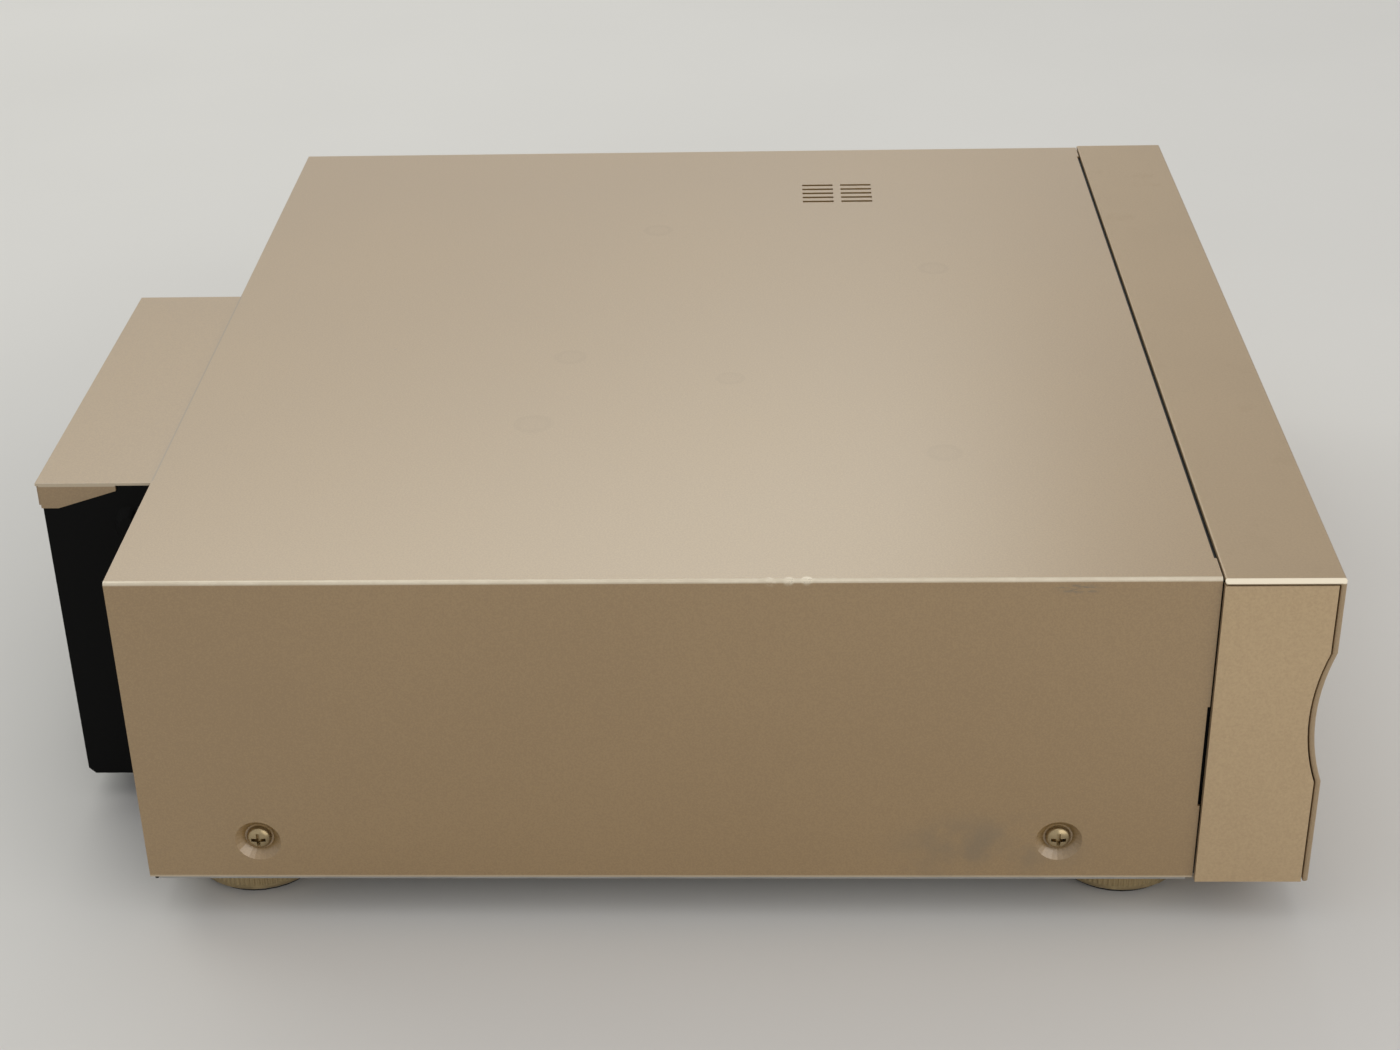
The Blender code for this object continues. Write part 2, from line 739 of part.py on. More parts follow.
# Base pan, feet and side screws
PAN_HALF = COVER_HALF - DIMPLE_DEPTH - COVER_SHEET - GAP
PAN_FRONT_Y = SEAM_Y + PAN_FRONT_GAP
REAR_FACE_Y = COVER_REAR_Y - REAR_INSET
FEET = [
    (side * FOOT_X, y, end + "_" + word)
    for side, word in ((-1, "left"), (1, "right"))
    for y, end in ((FOOT_FRONT_Y, "front"), (FOOT_REAR_Y, "rear"))
]


def make_base():
    profile = [(PAN_HALF, PAN_FLANGE_TOP), (PAN_HALF, PAN_UNDERSIDE)]
    profile += [(-PAN_HALF, PAN_UNDERSIDE), (-PAN_HALF, PAN_FLANGE_TOP)]
    pan_rear = REAR_FACE_Y - REAR_SHEET - GAP
    pan = sheet_along_y("base_chassis", profile, PAN_FRONT_Y, pan_rear, PAN_SHEET, STEEL)
    for side, y, word in SCREW_PLACES:
        hole = rod(
            "pan_hole_" + word,
            SCREW_RADIUS + SCREW_HOLE_GAP,
            (side * (PAN_HALF + OVERRUN), y, SCREW_Z),
            side * (PAN_HALF - PAN_SHEET - OVERRUN),
            "X",
            sides=16,
        )
        cut(pan, hole)
    return pan


def make_feet():
    low = FOOT_PAD_THICKNESS + GAP
    high = PAN_UNDERSIDE - GAP
    for x, y, word in FEET:
        profile = [
            (0, high),
            (FOOT_RADIUS - FOOT_SHOULDER, high),
            (FOOT_RADIUS, high - FOOT_SHOULDER),
            (FOOT_RADIUS, low + FOOT_SHOULDER / 2),
            (FOOT_RADIUS - FOOT_SHOULDER / 2, low),
            (0, low),
        ]
        turned("foot_" + word, profile, (x, y, 0), GOLD_FOOT, 32)
        pad_radius = FOOT_RADIUS - FOOT_PAD_INSET
        rod("foot_pad_" + word, pad_radius, (x, y, 0), FOOT_PAD_THICKNESS, "Z", RUBBER, 32)


def make_side_screws():
    for side, y, word in SCREW_PLACES:
        seat = side * (COVER_HALF - DIMPLE_DEPTH + GAP)
        crown = seat + side * SCREW_HEAD_HEIGHT
        head = rod(
            "cover_screw_" + word,
            SCREW_HEAD_RADIUS,
            (seat, y, SCREW_Z),
            crown,
            "X",
            BRIGHT_STEEL,
            sides=20,
            end_radius=SCREW_HEAD_RADIUS - SCREW_HEAD_HEIGHT / 2,
        )
        shank = rod(
            "shank_" + word,
            SCREW_RADIUS,
            (seat + side * SCREW_HEAD_HEIGHT / 2, y, SCREW_Z),
            seat - side * SCREW_LENGTH,
            "X",
            sides=12,
        )
        join(head, shank)
        reach = SCREW_HEAD_RADIUS - SCREW_HEAD_HEIGHT / 2
        floor = crown - side * SCREW_SLOT_DEPTH
        low, high = sorted((floor, crown + side * OVERRUN))
        upright = block(
            "slot_upright_" + word,
            (low, y - SCREW_SLOT / 2, SCREW_Z - reach),
            (high, y + SCREW_SLOT / 2, SCREW_Z + reach),
        )
        across = block(
            "slot_across_" + word,
            (low, y - reach, SCREW_Z - SCREW_SLOT / 2),
            (high, y + reach, SCREW_Z + SCREW_SLOT / 2),
        )
        cut(head, upright, across)


# Rear wall, rear housing and sockets
REAR_BACK_Y = REAR_FACE_Y - REAR_SHEET
REAR_TOP = COVER_TOP - COVER_SHEET - GAP
REAR_HALF = COVER_HALF - COVER_SHEET - GAP
HOUSING_TOP = COVER_TOP - EXTENSION_STEP - COVER_SHEET - GAP
HOUSING_OPENING_MARGIN = 0.0025
JACK_X = 0.051
JACK_Z = 0.0705
JACK_PITCH = 0.017
JACK_ROWS = 2
JACK_COLUMNS = 4
JACK_RADIUS = 0.0042
JACK_BORE = 0.0017
JACK_REACH = 0.008
JACK_BLOCK_DEPTH = 0.012
JACK_MARGIN = 0.009
INLET_INSET = 0.0362
INLET_X = COVER_WIDTH / 2 - INLET_INSET
INLET_Z = 0.046
INLET_WIDTH = 0.027
INLET_HEIGHT = 0.0195
INLET_CAVITY_WIDTH = 0.0215
INLET_CAVITY_HEIGHT = 0.0135
INLET_CAVITY_DEPTH = 0.013
INLET_DEPTH = 0.018
INLET_RIM = 0.003
INLET_RIM_THICKNESS = 0.0015
INLET_PIN_RADIUS = 0.0012
INLET_PIN_X = 0.006
INLET_PIN_LENGTH = 0.009


def jack_places():
    return [
        (JACK_X + column * JACK_PITCH, JACK_Z + row * JACK_PITCH)
        for row in range(JACK_ROWS)
        for column in range(JACK_COLUMNS)
    ]


def make_rear_panel():
    panel = block(
        "rear_panel",
        (-REAR_HALF, REAR_BACK_Y, PAN_UNDERSIDE),
        (REAR_HALF, REAR_FACE_Y, REAR_TOP),
        BLACK_STEEL,
    )
    margin = HOUSING_OPENING_MARGIN
    opening = block(
        "housing_opening",
        (HOUSING_LEFT + margin, REAR_BACK_Y - OVERRUN, FRAME_BOTTOM + margin),
        (HOUSING_RIGHT - margin, REAR_FACE_Y + OVERRUN, HOUSING_TOP - margin),
    )
    notch = block(
        "extension_notch",
        (EXTENSION_LEFT - SLIDE_GAP, REAR_BACK_Y - OVERRUN, HOUSING_TOP),
        (EXTENSION_RIGHT + SLIDE_GAP, REAR_FACE_Y + OVERRUN, REAR_TOP + OVERRUN),
    )
    cut(panel, opening, notch)
    for index, (x, z) in enumerate(jack_places()):
        start = (x, REAR_BACK_Y - OVERRUN, z)
        radius = JACK_RADIUS + SLIDE_GAP
        cut(panel, rod(f"jack_hole_{index}", radius, start, REAR_FACE_Y + OVERRUN, "Y", sides=16))
    half, tall = INLET_WIDTH / 2 + SLIDE_GAP, INLET_HEIGHT / 2 + SLIDE_GAP
    inlet = block(
        "inlet_hole",
        (INLET_X - half, REAR_BACK_Y - OVERRUN, INLET_Z - tall),
        (INLET_X + half, REAR_FACE_Y + OVERRUN, INLET_Z + tall),
    )
    corners = []
    for side in (-1, 1):
        low, high = sorted((side * PAN_HALF, side * (REAR_HALF + OVERRUN)))
        corners.append(
            block(
                f"lower_corner_{side}",
                (low, REAR_BACK_Y - OVERRUN, PAN_UNDERSIDE - OVERRUN),
                (high, REAR_FACE_Y + OVERRUN, COVER_LIFT),
            )
        )
    return cut(panel, inlet, *corners)


def make_housing():
    front = REAR_FACE_Y + GAP
    back = COVER_REAR_Y + HOUSING_REACH
    housing = block(
        "rear_housing",
        (HOUSING_LEFT, front, HOUSING_BOTTOM),
        (HOUSING_RIGHT, back, HOUSING_TOP),
        BLACK_PLASTIC,
    )
    round_edges(housing, HOUSING_CHAMFER)
    housing.modifiers["round_edges"].limit_method = "WEIGHT"
    weights = housing.data.attributes.new("bevel_weight_edge", "FLOAT", "EDGE")
    for edge in housing.data.edges:
        ends = [housing.data.vertices[index].co for index in edge.vertices]
        lowest = all(end.z < 0 and end.y > 0 for end in ends)
        weights.data[edge.index].value = 1.0 if lowest else 0.0
    bulge = rod(
        "housing_bulge",
        HOUSING_BULGE_WIDTH,
        (HOUSING_LEFT + HOUSING_WALL / 2, COVER_REAR_Y + HOUSING_BULGE_Y, HOUSING_BULGE_Z),
        HOUSING_LEFT - HOUSING_BULGE_PROUD,
        "X",
        end_radius=HOUSING_BULGE_WIDTH / 2,
    )
    for vertex in bulge.data.vertices:
        vertex.co.z *= HOUSING_BULGE_HEIGHT / HOUSING_BULGE_WIDTH
    join(housing, bulge)
    wall = HOUSING_WALL
    hollow = block(
        "housing_hollow",
        (HOUSING_LEFT + wall, front - OVERRUN, HOUSING_BOTTOM + wall),
        (HOUSING_RIGHT - wall, back - wall, HOUSING_TOP - wall),
    )
    return cut(housing, hollow)


def make_jacks():
    left, right = JACK_X - JACK_MARGIN, JACK_X + (JACK_COLUMNS - 1) * JACK_PITCH + JACK_MARGIN
    low, high = JACK_Z - JACK_MARGIN, JACK_Z + (JACK_ROWS - 1) * JACK_PITCH + JACK_MARGIN
    back = REAR_BACK_Y - GAP
    jacks = block("av_jacks", (left, back - JACK_BLOCK_DEPTH, low), (right, back, high), BLACK_PLASTIC)
    end = REAR_FACE_Y + JACK_REACH
    for index, (x, z) in enumerate(jack_places()):
        join(jacks, rod(f"jack_{index}", JACK_RADIUS, (x, back - OVERRUN, z), end, "Y", sides=16))
    for index, (x, z) in enumerate(jack_places()):
        start = (x, back - JACK_BLOCK_DEPTH / 2, z)
        cut(jacks, rod(f"jack_bore_{index}", JACK_BORE, start, end + OVERRUN, "Y", sides=8))
    return jacks


def make_inlet():
    back = REAR_FACE_Y - INLET_DEPTH
    half, tall = INLET_WIDTH / 2, INLET_HEIGHT / 2
    inlet = block(
        "ac_inlet",
        (INLET_X - half, back, INLET_Z - tall),
        (INLET_X + half, REAR_FACE_Y + GAP + INLET_RIM_THICKNESS, INLET_Z + tall),
        BLACK_PLASTIC,
    )
    rim = block(
        "inlet_rim",
        (INLET_X - half - INLET_RIM, REAR_FACE_Y + GAP, INLET_Z - tall - INLET_RIM),
        (INLET_X + half + INLET_RIM, REAR_FACE_Y + GAP + INLET_RIM_THICKNESS, INLET_Z + tall + INLET_RIM),
    )
    join(inlet, rim)
    wide, high = INLET_CAVITY_WIDTH / 2, INLET_CAVITY_HEIGHT / 2
    floor = REAR_FACE_Y - INLET_CAVITY_DEPTH
    cavity = block(
        "inlet_cavity",
        (INLET_X - wide, floor, INLET_Z - high),
        (INLET_X + wide, REAR_FACE_Y + INLET_RIM_THICKNESS + OVERRUN, INLET_Z + high),
    )
    cut(inlet, cavity)
    for side, word in ((-1, "left"), (1, "right")):
        start = (INLET_X + side * INLET_PIN_X, floor - OVERRUN, INLET_Z)
        tip = floor + INLET_PIN_LENGTH
        join(inlet, rod("inlet_pin_" + word, INLET_PIN_RADIUS, start, tip, "Y", sides=12))
    return inlet


def make_casing():
    make_front_panel()
    for side, word in ((-1, "left"), (1, "right")):
        make_cheek(side, word)
    make_front_frame()
    make_window()
    make_cover()
    make_base()
    make_feet()
    make_side_screws()
    make_rear_panel()
    make_housing()
    make_jacks()
    make_inlet()


make_casing()


# Levels that the tray, the turntable and the gears share
DISC_UNDERSIDE = DISC_Z - DISC_THICKNESS / 2
TRAY_FLOOR_TOP = DISC_UNDERSIDE - TRAY_DISC_DROP
TRAY_BOTTOM = TRAY_FLOOR_TOP - TRAY_FLOOR
TRAY_TOP = TRAY_FLOOR_TOP + TRAY_RIM
TONGUE_REACH = TRAY_HALF + TRAY_TONGUE
WALL_INNER = TONGUE_REACH + SLIDE_GAP + RAIL_OUTER + GAP
WALL_OUTER = WALL_INNER + DECK_SHEET
RAIL_GROOVE_GAP = 0.0004

# Gears with straight-sided teeth, a little slimmer than their spaces
ADDENDUM_SHARE = 0.8
DEDENDUM_SHARE = 1.1
ADDENDUM = ADDENDUM_SHARE * GEAR_MODULE
DEDENDUM = DEDENDUM_SHARE * GEAR_MODULE
FLANK = math.tan(math.radians(20))
TOOTH_HALF = math.pi * GEAR_MODULE / 4 - TOOTH_PLAY
RACK_BACK = 0.001
RACK_LINE_Z = TRAY_BOTTOM - RACK_BACK - DEDENDUM
RACK_OUTER = TRAY_HALF - SLIDE_GAP
GEAR_X = MECH_X + RACK_OUTER - RACK_WIDTH / 2
LOADING_RADIUS = GEAR_MODULE * LOADING_TEETH / 2
LOADING_PINION_RADIUS = GEAR_MODULE * LOADING_PINION_TEETH / 2
LOADING_GEAR_Z = RACK_LINE_Z - LOADING_RADIUS
LOADING_MOTOR_Y = LOADING_GEAR_Y + LOADING_RADIUS + LOADING_PINION_RADIUS
TURN_GEAR_RADIUS = GEAR_MODULE * TURN_TEETH / 2
TURN_PINION_RADIUS = GEAR_MODULE * TURN_PINION_TEETH / 2
TURN_MOTOR_Z = DISC_Z - TURN_GEAR_RADIUS - TURN_PINION_RADIUS
SHAFT_RADIUS = 0.001
SHAFT_GAP = 0.0003
MOTOR_STAND_OFF = 0.0035


def gear_outline(teeth, phase, centre):
    """Points of a spur gear in Y and Z, with one tooth's middle at the phase angle."""
    radius = GEAR_MODULE * teeth / 2
    tip, root = radius + ADDENDUM, radius - DEDENDUM
    tip_half = (TOOTH_HALF - ADDENDUM * FLANK) / tip
    root_half = (TOOTH_HALF + DEDENDUM * FLANK) / root
    points = []
    for tooth in range(teeth):
        middle = phase + math.tau * tooth / teeth
        for reach, angle in ((root, -root_half), (tip, -tip_half), (tip, tip_half), (root, root_half)):
            turn = middle + angle
            points.append((centre[0] + reach * math.cos(turn), centre[1] + reach * math.sin(turn)))
    return points


def gear(name, teeth, phase, centre, bore, look):
    x, y, z = centre
    points = gear_outline(teeth, phase, (y, z))
    wheel = outline(name, points, x - GEAR_WIDTH / 2, x + GEAR_WIDTH / 2, "X", look, at=centre)
    if bore:
        start = (x - GEAR_WIDTH / 2 - OVERRUN, y, z)
        cut(wheel, rod(name + "_bore", bore, start, x + GEAR_WIDTH / 2 + OVERRUN, "X", sides=16))
    return wheel


# Deck that carries the mechanism
DECK_FRONT_Y = SEAM_Y + DECK_FRONT_GAP
DECK_UNDERSIDE = DECK_TOP - DECK_SHEET
NOTCH_LEFT = 0.086
NOTCH_RIGHT = 0.056
POST_REAR_Y = 0.160
LOWER_RAIL_Z = DISC_Z - RAIL_OFFSET
UPPER_RAIL_Z = DISC_Z + RAIL_OFFSET
RAIL_START = 0.044  # from the spindle to the lower rails' front ends
RAIL_END_GAP = 0.0340  # from the turnover's axis to the rails' rear ends
RAIL_END_Y = TURN_Y - RAIL_END_GAP
STAY_INNER = RAIL_X + RAIL_RADIUS + GAP
STAY_WIDTH = 0.005
STAY_LENGTH = 0.004
STAY_HALF_HEIGHT = 0.004


def make_deck():
    profile = [(WALL_OUTER, DECK_WALL_TOP), (WALL_OUTER, DECK_UNDERSIDE)]
    profile += [(-WALL_OUTER, DECK_UNDERSIDE), (-WALL_OUTER, DECK_WALL_TOP)]
    places = [(MECH_X + x, z) for x, z in profile]
    deck = sheet_along_y("mech_chassis", places, DECK_FRONT_Y, DECK_REAR_Y, DECK_SHEET, STEEL)
    for side, word in ((-1, "left"), (1, "right")):
        x = MECH_X + side * (WALL_OUTER - DECK_POST_INSET)
        for y, end in ((DECK_FRONT_Y + DECK_POST_INSET, "front"), (POST_REAR_Y, "rear")):
            start = (x, y, PAN_TOP + GAP)
            top = DECK_TOP - DECK_SHEET / 2
            post = rod(f"post_{end}_{word}", DECK_POST_RADIUS, start, top, "Z", sides=16)
            join(deck, post)
        inner = MECH_X + side * STAY_INNER
        outer = inner + side * STAY_WIDTH
        front = SPINDLE_Y + RAIL_START + GAP
        low, high = sorted((inner, outer))
        stay = block(
            "rail_stay_" + word,
            (low, front, DECK_TOP - DECK_SHEET / 2),
            (high, front + STAY_LENGTH, LOWER_RAIL_Z + STAY_HALF_HEIGHT),
        )
        join(deck, stay)
    pin = rod(
        "gear_pin",
        GEAR_PIN_RADIUS,
        (MECH_X + WALL_OUTER - DECK_SHEET / 2, LOADING_GEAR_Y, LOADING_GEAR_Z),
        GEAR_X - GEAR_WIDTH / 2,
        "X",
        sides=16,
    )
    join(deck, pin)
    notch = block(
        "deck_notch",
        (MECH_X - NOTCH_LEFT, DECK_NOTCH_Y, DECK_UNDERSIDE - OVERRUN),
        (MECH_X + NOTCH_RIGHT, DECK_REAR_Y + OVERRUN, DECK_TOP + OVERRUN),
    )
    return cut(deck, notch)


# Tray, its rails and its front
RACK_FRONT_Y = -0.192
RACK_TEETH = 77
TONGUE_STEP = 0.0002


def make_tray():
    slot = arc(TRAY_SLOT_HALF, 0, -math.pi / 2, 12, (0, SPINDLE_Y))
    half = [
        (TRAY_HALF, TRAY_FRONT_INNER_Y),
        (TRAY_HALF, TRAY_RUNNER_REAR_Y),
        (TRAY_HALF - TRAY_RUNNER_WIDTH, TRAY_RUNNER_REAR_Y),
        (TRAY_HALF - TRAY_RUNNER_WIDTH, TRAY_REAR_Y),
        (TRAY_SLOT_HALF, TRAY_REAR_Y),
        *slot[:-1],
    ]
    shape = half + [(0, SPINDLE_Y - TRAY_SLOT_HALF)] + [(-x, y) for x, y in reversed(half)]
    places = [(MECH_X + x, y) for x, y in shape]
    tray = outline("disc_tray", places, TRAY_BOTTOM, TRAY_TOP, "Z", TRAY_GREY)
    tongue_z = TRAY_BOTTOM + TRAY_TONGUE_HEIGHT
    for side, word in ((-1, "left"), (1, "right")):
        low, high = sorted((MECH_X + side * (TRAY_HALF - TRAY_TONGUE / 2), MECH_X + side * TONGUE_REACH))
        tongue = block(
            "tongue_" + word,
            (low, TRAY_FRONT_INNER_Y + TRAY_TONGUE, TRAY_BOTTOM + TONGUE_STEP),
            (high, TRAY_RUNNER_REAR_Y - TRAY_TONGUE, tongue_z - TONGUE_STEP),
        )
        join(tray, tongue)
    join(tray, make_rack())
    start = (MECH_X, SPINDLE_Y, TRAY_FLOOR_TOP)
    disc_well = rod("disc_well", DISC_RADIUS + TRAY_DISC_MARGIN, start, TRAY_TOP + OVERRUN, "Z", sides=72)
    start = (MECH_X, SPINDLE_Y, TRAY_FLOOR_TOP - CD_STEP)
    small_well = rod("small_disc_well", CD_RADIUS, start, TRAY_TOP + OVERRUN, "Z", sides=48)
    return cut(tray, disc_well, small_well)


def make_rack():
    pitch = math.pi * GEAR_MODULE
    first = LOADING_GEAR_Y - pitch / 2 - pitch * round((LOADING_GEAR_Y - RACK_FRONT_Y) / pitch)
    tip, root = RACK_LINE_Z - ADDENDUM, RACK_LINE_Z + DEDENDUM
    tip_half = TOOTH_HALF - ADDENDUM * FLANK
    root_half = TOOTH_HALF + DEDENDUM * FLANK
    back = TRAY_BOTTOM + TRAY_FLOOR / 2
    points = [(first - pitch / 2, back), (first - pitch / 2, root)]
    for tooth in range(RACK_TEETH):
        middle = first + tooth * pitch
        points += [
            (middle - root_half, root),
            (middle - tip_half, tip),
            (middle + tip_half, tip),
            (middle + root_half, root),
        ]
    last = first + (RACK_TEETH - 1) * pitch + pitch / 2
    points += [(last, root), (last, back)]
    return outline("rack", points, MECH_X + RACK_OUTER - RACK_WIDTH, MECH_X + RACK_OUTER, "X")


def make_tray_rails():
    low_z = TRAY_BOTTOM - RAIL_GROOVE_GAP
    high_z = TRAY_BOTTOM + TRAY_TONGUE_HEIGHT + RAIL_GROOVE_GAP
    for side, word in ((-1, "left"), (1, "right")):
        inner = TRAY_HALF + SLIDE_GAP
        outer = WALL_INNER - GAP
        groove = TONGUE_REACH + SLIDE_GAP
        section = [
            (inner, low_z - RAIL_LIP),
            (outer, low_z - RAIL_LIP),
            (outer, high_z + RAIL_LIP),
            (inner, high_z + RAIL_LIP),
            (inner, high_z),
            (groove, high_z),
            (groove, low_z),
            (inner, low_z),
        ]
        places = [(MECH_X + side * x, z) for x, z in section]
        outline("tray_rail_" + word, places, RAIL_FRONT_Y, TRAY_RUNNER_REAR_Y, "Y", NATURAL_PLASTIC)


def make_tray_front():
    front = front_bar("tray_front", 0, FRONT_PLATE, WIDTH / 2, CHAMPAGNE_FRONT)
    gap = TRAY_OPENING_GAP
    half = TRAY_OPENING_HALF - gap
    limits = block(
        "tray_front_limits",
        (MECH_X - half, FRONT_Y - OVERRUN, TRAY_OPENING_BOTTOM + gap),
        (MECH_X + half, FRONT_Y + FRONT_LIP_DEPTH, TRAY_OPENING_TOP - gap),
    )
    keep(front, limits)
    reach = TRAY_HALF - TRAY_TONGUE
    stay = block(
        "tray_front_stay",
        (MECH_X - reach, FRONT_Y + RECESS_DEPTH, TRAY_BOTTOM),
        (MECH_X + reach, TRAY_FRONT_INNER_Y - GAP, TRAY_TOP),
    )
    return join(front, stay)


# Drives
def motor(name, x_start, x_end, y, z, radius, look=STEEL):
    return rod(name, radius, (x_start, y, z), x_end, "X", look)


def make_loading_drive():
    gear("loading_gear", LOADING_TEETH, math.pi / 2, (GEAR_X, LOADING_GEAR_Y, LOADING_GEAR_Z),
         GEAR_PIN_RADIUS + SHAFT_GAP, NATURAL_PLASTIC)
    centre = (GEAR_X, LOADING_MOTOR_Y, LOADING_GEAR_Z)
    gear("loading_pinion", LOADING_PINION_TEETH, math.pi, centre, SHAFT_RADIUS + SHAFT_GAP, NATURAL_PLASTIC)
    face = GEAR_X - GEAR_WIDTH / 2 - MOTOR_STAND_OFF
    body = motor("loading_motor", face - MOTOR_LENGTH, face, LOADING_MOTOR_Y, LOADING_GEAR_Z, MOTOR_RADIUS)
    shaft = rod(
        "loading_shaft",
        SHAFT_RADIUS,
        (face - OVERRUN, LOADING_MOTOR_Y, LOADING_GEAR_Z),
        GEAR_X + GEAR_WIDTH / 2,
        "X",
        sides=12,
    )
    stand = block(
        "loading_stand",
        (face - MOTOR_LENGTH * 3 / 4, LOADING_MOTOR_Y - MOTOR_RADIUS / 2, DECK_TOP + GAP),
        (face - MOTOR_LENGTH / 4, LOADING_MOTOR_Y + MOTOR_RADIUS / 2, LOADING_GEAR_Z),
    )
    return join(body, shaft, stand)


# Spindle, turntable and clamp
SPINDLE_MOTOR_TOP = 0.0865
TABLE_SKIRT_RADIUS = 0.009
TABLE_SKIRT_GAP = 0.0008
TABLE_HUB_RISE = 0.0015
TABLE_RUBBER_STEP = 0.0005
SHAFT_TOP_GAP = 0.0010


def make_spindle():
    motor_body = rod(
        "spindle_motor",
        SPINDLE_MOTOR_RADIUS,
        (MECH_X, SPINDLE_Y, DECK_TOP + GAP),
        SPINDLE_MOTOR_TOP,
        "Z",
        STEEL,
        sides=36,
    )
    shaft_top = DISC_UNDERSIDE - SHAFT_TOP_GAP
    start = (MECH_X, SPINDLE_Y, SPINDLE_MOTOR_TOP - OVERRUN)
    join(motor_body, rod("spindle_shaft", SPINDLE_SHAFT_RADIUS, start, shaft_top, "Z", sides=16))
    bottom = DISC_UNDERSIDE - TURNTABLE_THICKNESS
    profile = [
        (0, DISC_UNDERSIDE + TABLE_HUB_RISE),
        (TURNTABLE_HUB_RADIUS - TABLE_HUB_RISE, DISC_UNDERSIDE + TABLE_HUB_RISE),
        (TURNTABLE_HUB_RADIUS, DISC_UNDERSIDE),
        (TURNTABLE_RADIUS - TABLE_RUBBER_STEP, DISC_UNDERSIDE),
        (TURNTABLE_RADIUS, DISC_UNDERSIDE - TABLE_RUBBER_STEP),
        (TURNTABLE_RADIUS, bottom),
        (TABLE_SKIRT_RADIUS, bottom),
        (TABLE_SKIRT_RADIUS, SPINDLE_MOTOR_TOP + TABLE_SKIRT_GAP),
        (0, SPINDLE_MOTOR_TOP + TABLE_SKIRT_GAP),
    ]
    table = turned("turntable", [(r, z - DISC_UNDERSIDE) for r, z in profile],
                   (MECH_X, SPINDLE_Y, DISC_UNDERSIDE), BLACK_PLASTIC, 36)
    bore = rod(
        "table_bore",
        SPINDLE_SHAFT_RADIUS + SHAFT_GAP,
        (MECH_X, SPINDLE_Y, SPINDLE_MOTOR_TOP),
        shaft_top + SHAFT_GAP,
        "Z",
        sides=16,
    )
    return cut(table, bore)


BRIDGE_UNDERSIDE = BRIDGE_TOP - BRIDGE_SHEET
CLAMP_PIVOT_Y = SPINDLE_Y - CLAMP_PIVOT_AHEAD
EAR_X = 0.0225
EAR_THICKNESS = 0.002
EAR_HALF = 0.005
ARM_HALF = 0.016
ARM_REACH = 0.010
PIVOT_RADIUS = 0.0022
CLAMPER_BOTTOM = DISC_UNDERSIDE + DISC_THICKNESS + CLAMPER_LIFT
CLAMPER_STEM = 0.004
CLAMPER_CAP = 0.0065
CLAMPER_CAP_THICKNESS = 0.0015
UPPER_STAY_Y = SPINDLE_Y + 0.010


def make_bridge():
    front, back = SPINDLE_Y - BRIDGE_FRONT, SPINDLE_Y + BRIDGE_REAR
    foot = DECK_WALL_TOP + GAP
    profile = [(-WALL_OUTER, foot), (-WALL_OUTER, BRIDGE_TOP), (WALL_OUTER, BRIDGE_TOP), (WALL_OUTER, foot)]
    places = [(MECH_X + x, z) for x, z in profile]
    bridge = sheet_along_y("clamp_bridge", places, front, back, BRIDGE_SHEET, STEEL)
    for side, word in ((-1, "left"), (1, "right")):
        low, high = sorted((MECH_X + side * EAR_X, MECH_X + side * (EAR_X + EAR_THICKNESS)))
        ear = block(
            "ear_" + word,
            (low, CLAMP_PIVOT_Y - EAR_HALF, CLAMP_PIVOT_Z - EAR_HALF),
            (high, CLAMP_PIVOT_Y + EAR_HALF, BRIDGE_UNDERSIDE + BRIDGE_SHEET / 2),
        )
        low, high = sorted((MECH_X + side * STAY_INNER, MECH_X + side * (STAY_INNER + STAY_WIDTH)))
        stay = block(
            "upper_stay_" + word,
            (low, UPPER_STAY_Y, UPPER_RAIL_Z - STAY_HALF_HEIGHT),
            (high, UPPER_STAY_Y + STAY_LENGTH, BRIDGE_UNDERSIDE + BRIDGE_SHEET / 2),
        )
        join(bridge, ear, stay)
    reach = EAR_X + EAR_THICKNESS + OVERRUN
    start = (MECH_X - reach, CLAMP_PIVOT_Y, CLAMP_PIVOT_Z)
    bore = rod("ear_bore", PIVOT_RADIUS + SHAFT_GAP, start, MECH_X + reach, "X", sides=16)
    return cut(bridge, bore)


def make_clamp():
    pivot = (MECH_X, CLAMP_PIVOT_Y, CLAMP_PIVOT_Z)
    arm = block(
        "clamp_arm",
        (MECH_X - ARM_HALF, CLAMP_PIVOT_Y, CLAMP_PIVOT_Z - CLAMP_ARM_SHEET / 2),
        (MECH_X + ARM_HALF, SPINDLE_Y + ARM_REACH, CLAMP_PIVOT_Z + CLAMP_ARM_SHEET / 2),
        STEEL,
        at=pivot,
    )
    reach = EAR_X + EAR_THICKNESS + GAP
    join(arm, rod("clamp_pivot", PIVOT_RADIUS, (MECH_X - reach, *pivot[1:]), MECH_X + reach, "X", sides=16))
    start = (MECH_X, SPINDLE_Y, CLAMP_PIVOT_Z - CLAMP_ARM_SHEET)
    top = CLAMP_PIVOT_Z + CLAMP_ARM_SHEET
    cut(arm, rod("clamp_hole", CLAMPER_STEM + SLIDE_GAP, start, top, "Z", sides=20))
    cap_low = CLAMP_PIVOT_Z + CLAMP_ARM_SHEET / 2 + GAP
    profile = [
        (0, cap_low + CLAMPER_CAP_THICKNESS),
        (CLAMPER_CAP, cap_low + CLAMPER_CAP_THICKNESS),
        (CLAMPER_CAP, cap_low),
        (CLAMPER_STEM, cap_low),
        (CLAMPER_STEM, CLAMPER_BOTTOM + CLAMPER_THICKNESS),
        (CLAMPER_RADIUS, CLAMPER_BOTTOM + CLAMPER_THICKNESS),
        (CLAMPER_RADIUS, CLAMPER_BOTTOM),
        (0, CLAMPER_BOTTOM),
    ]
    turned("clamper", [(r, z - CLAMPER_BOTTOM) for r, z in profile],
           (MECH_X, SPINDLE_Y, CLAMPER_BOTTOM), BLACK_PLASTIC, 24)


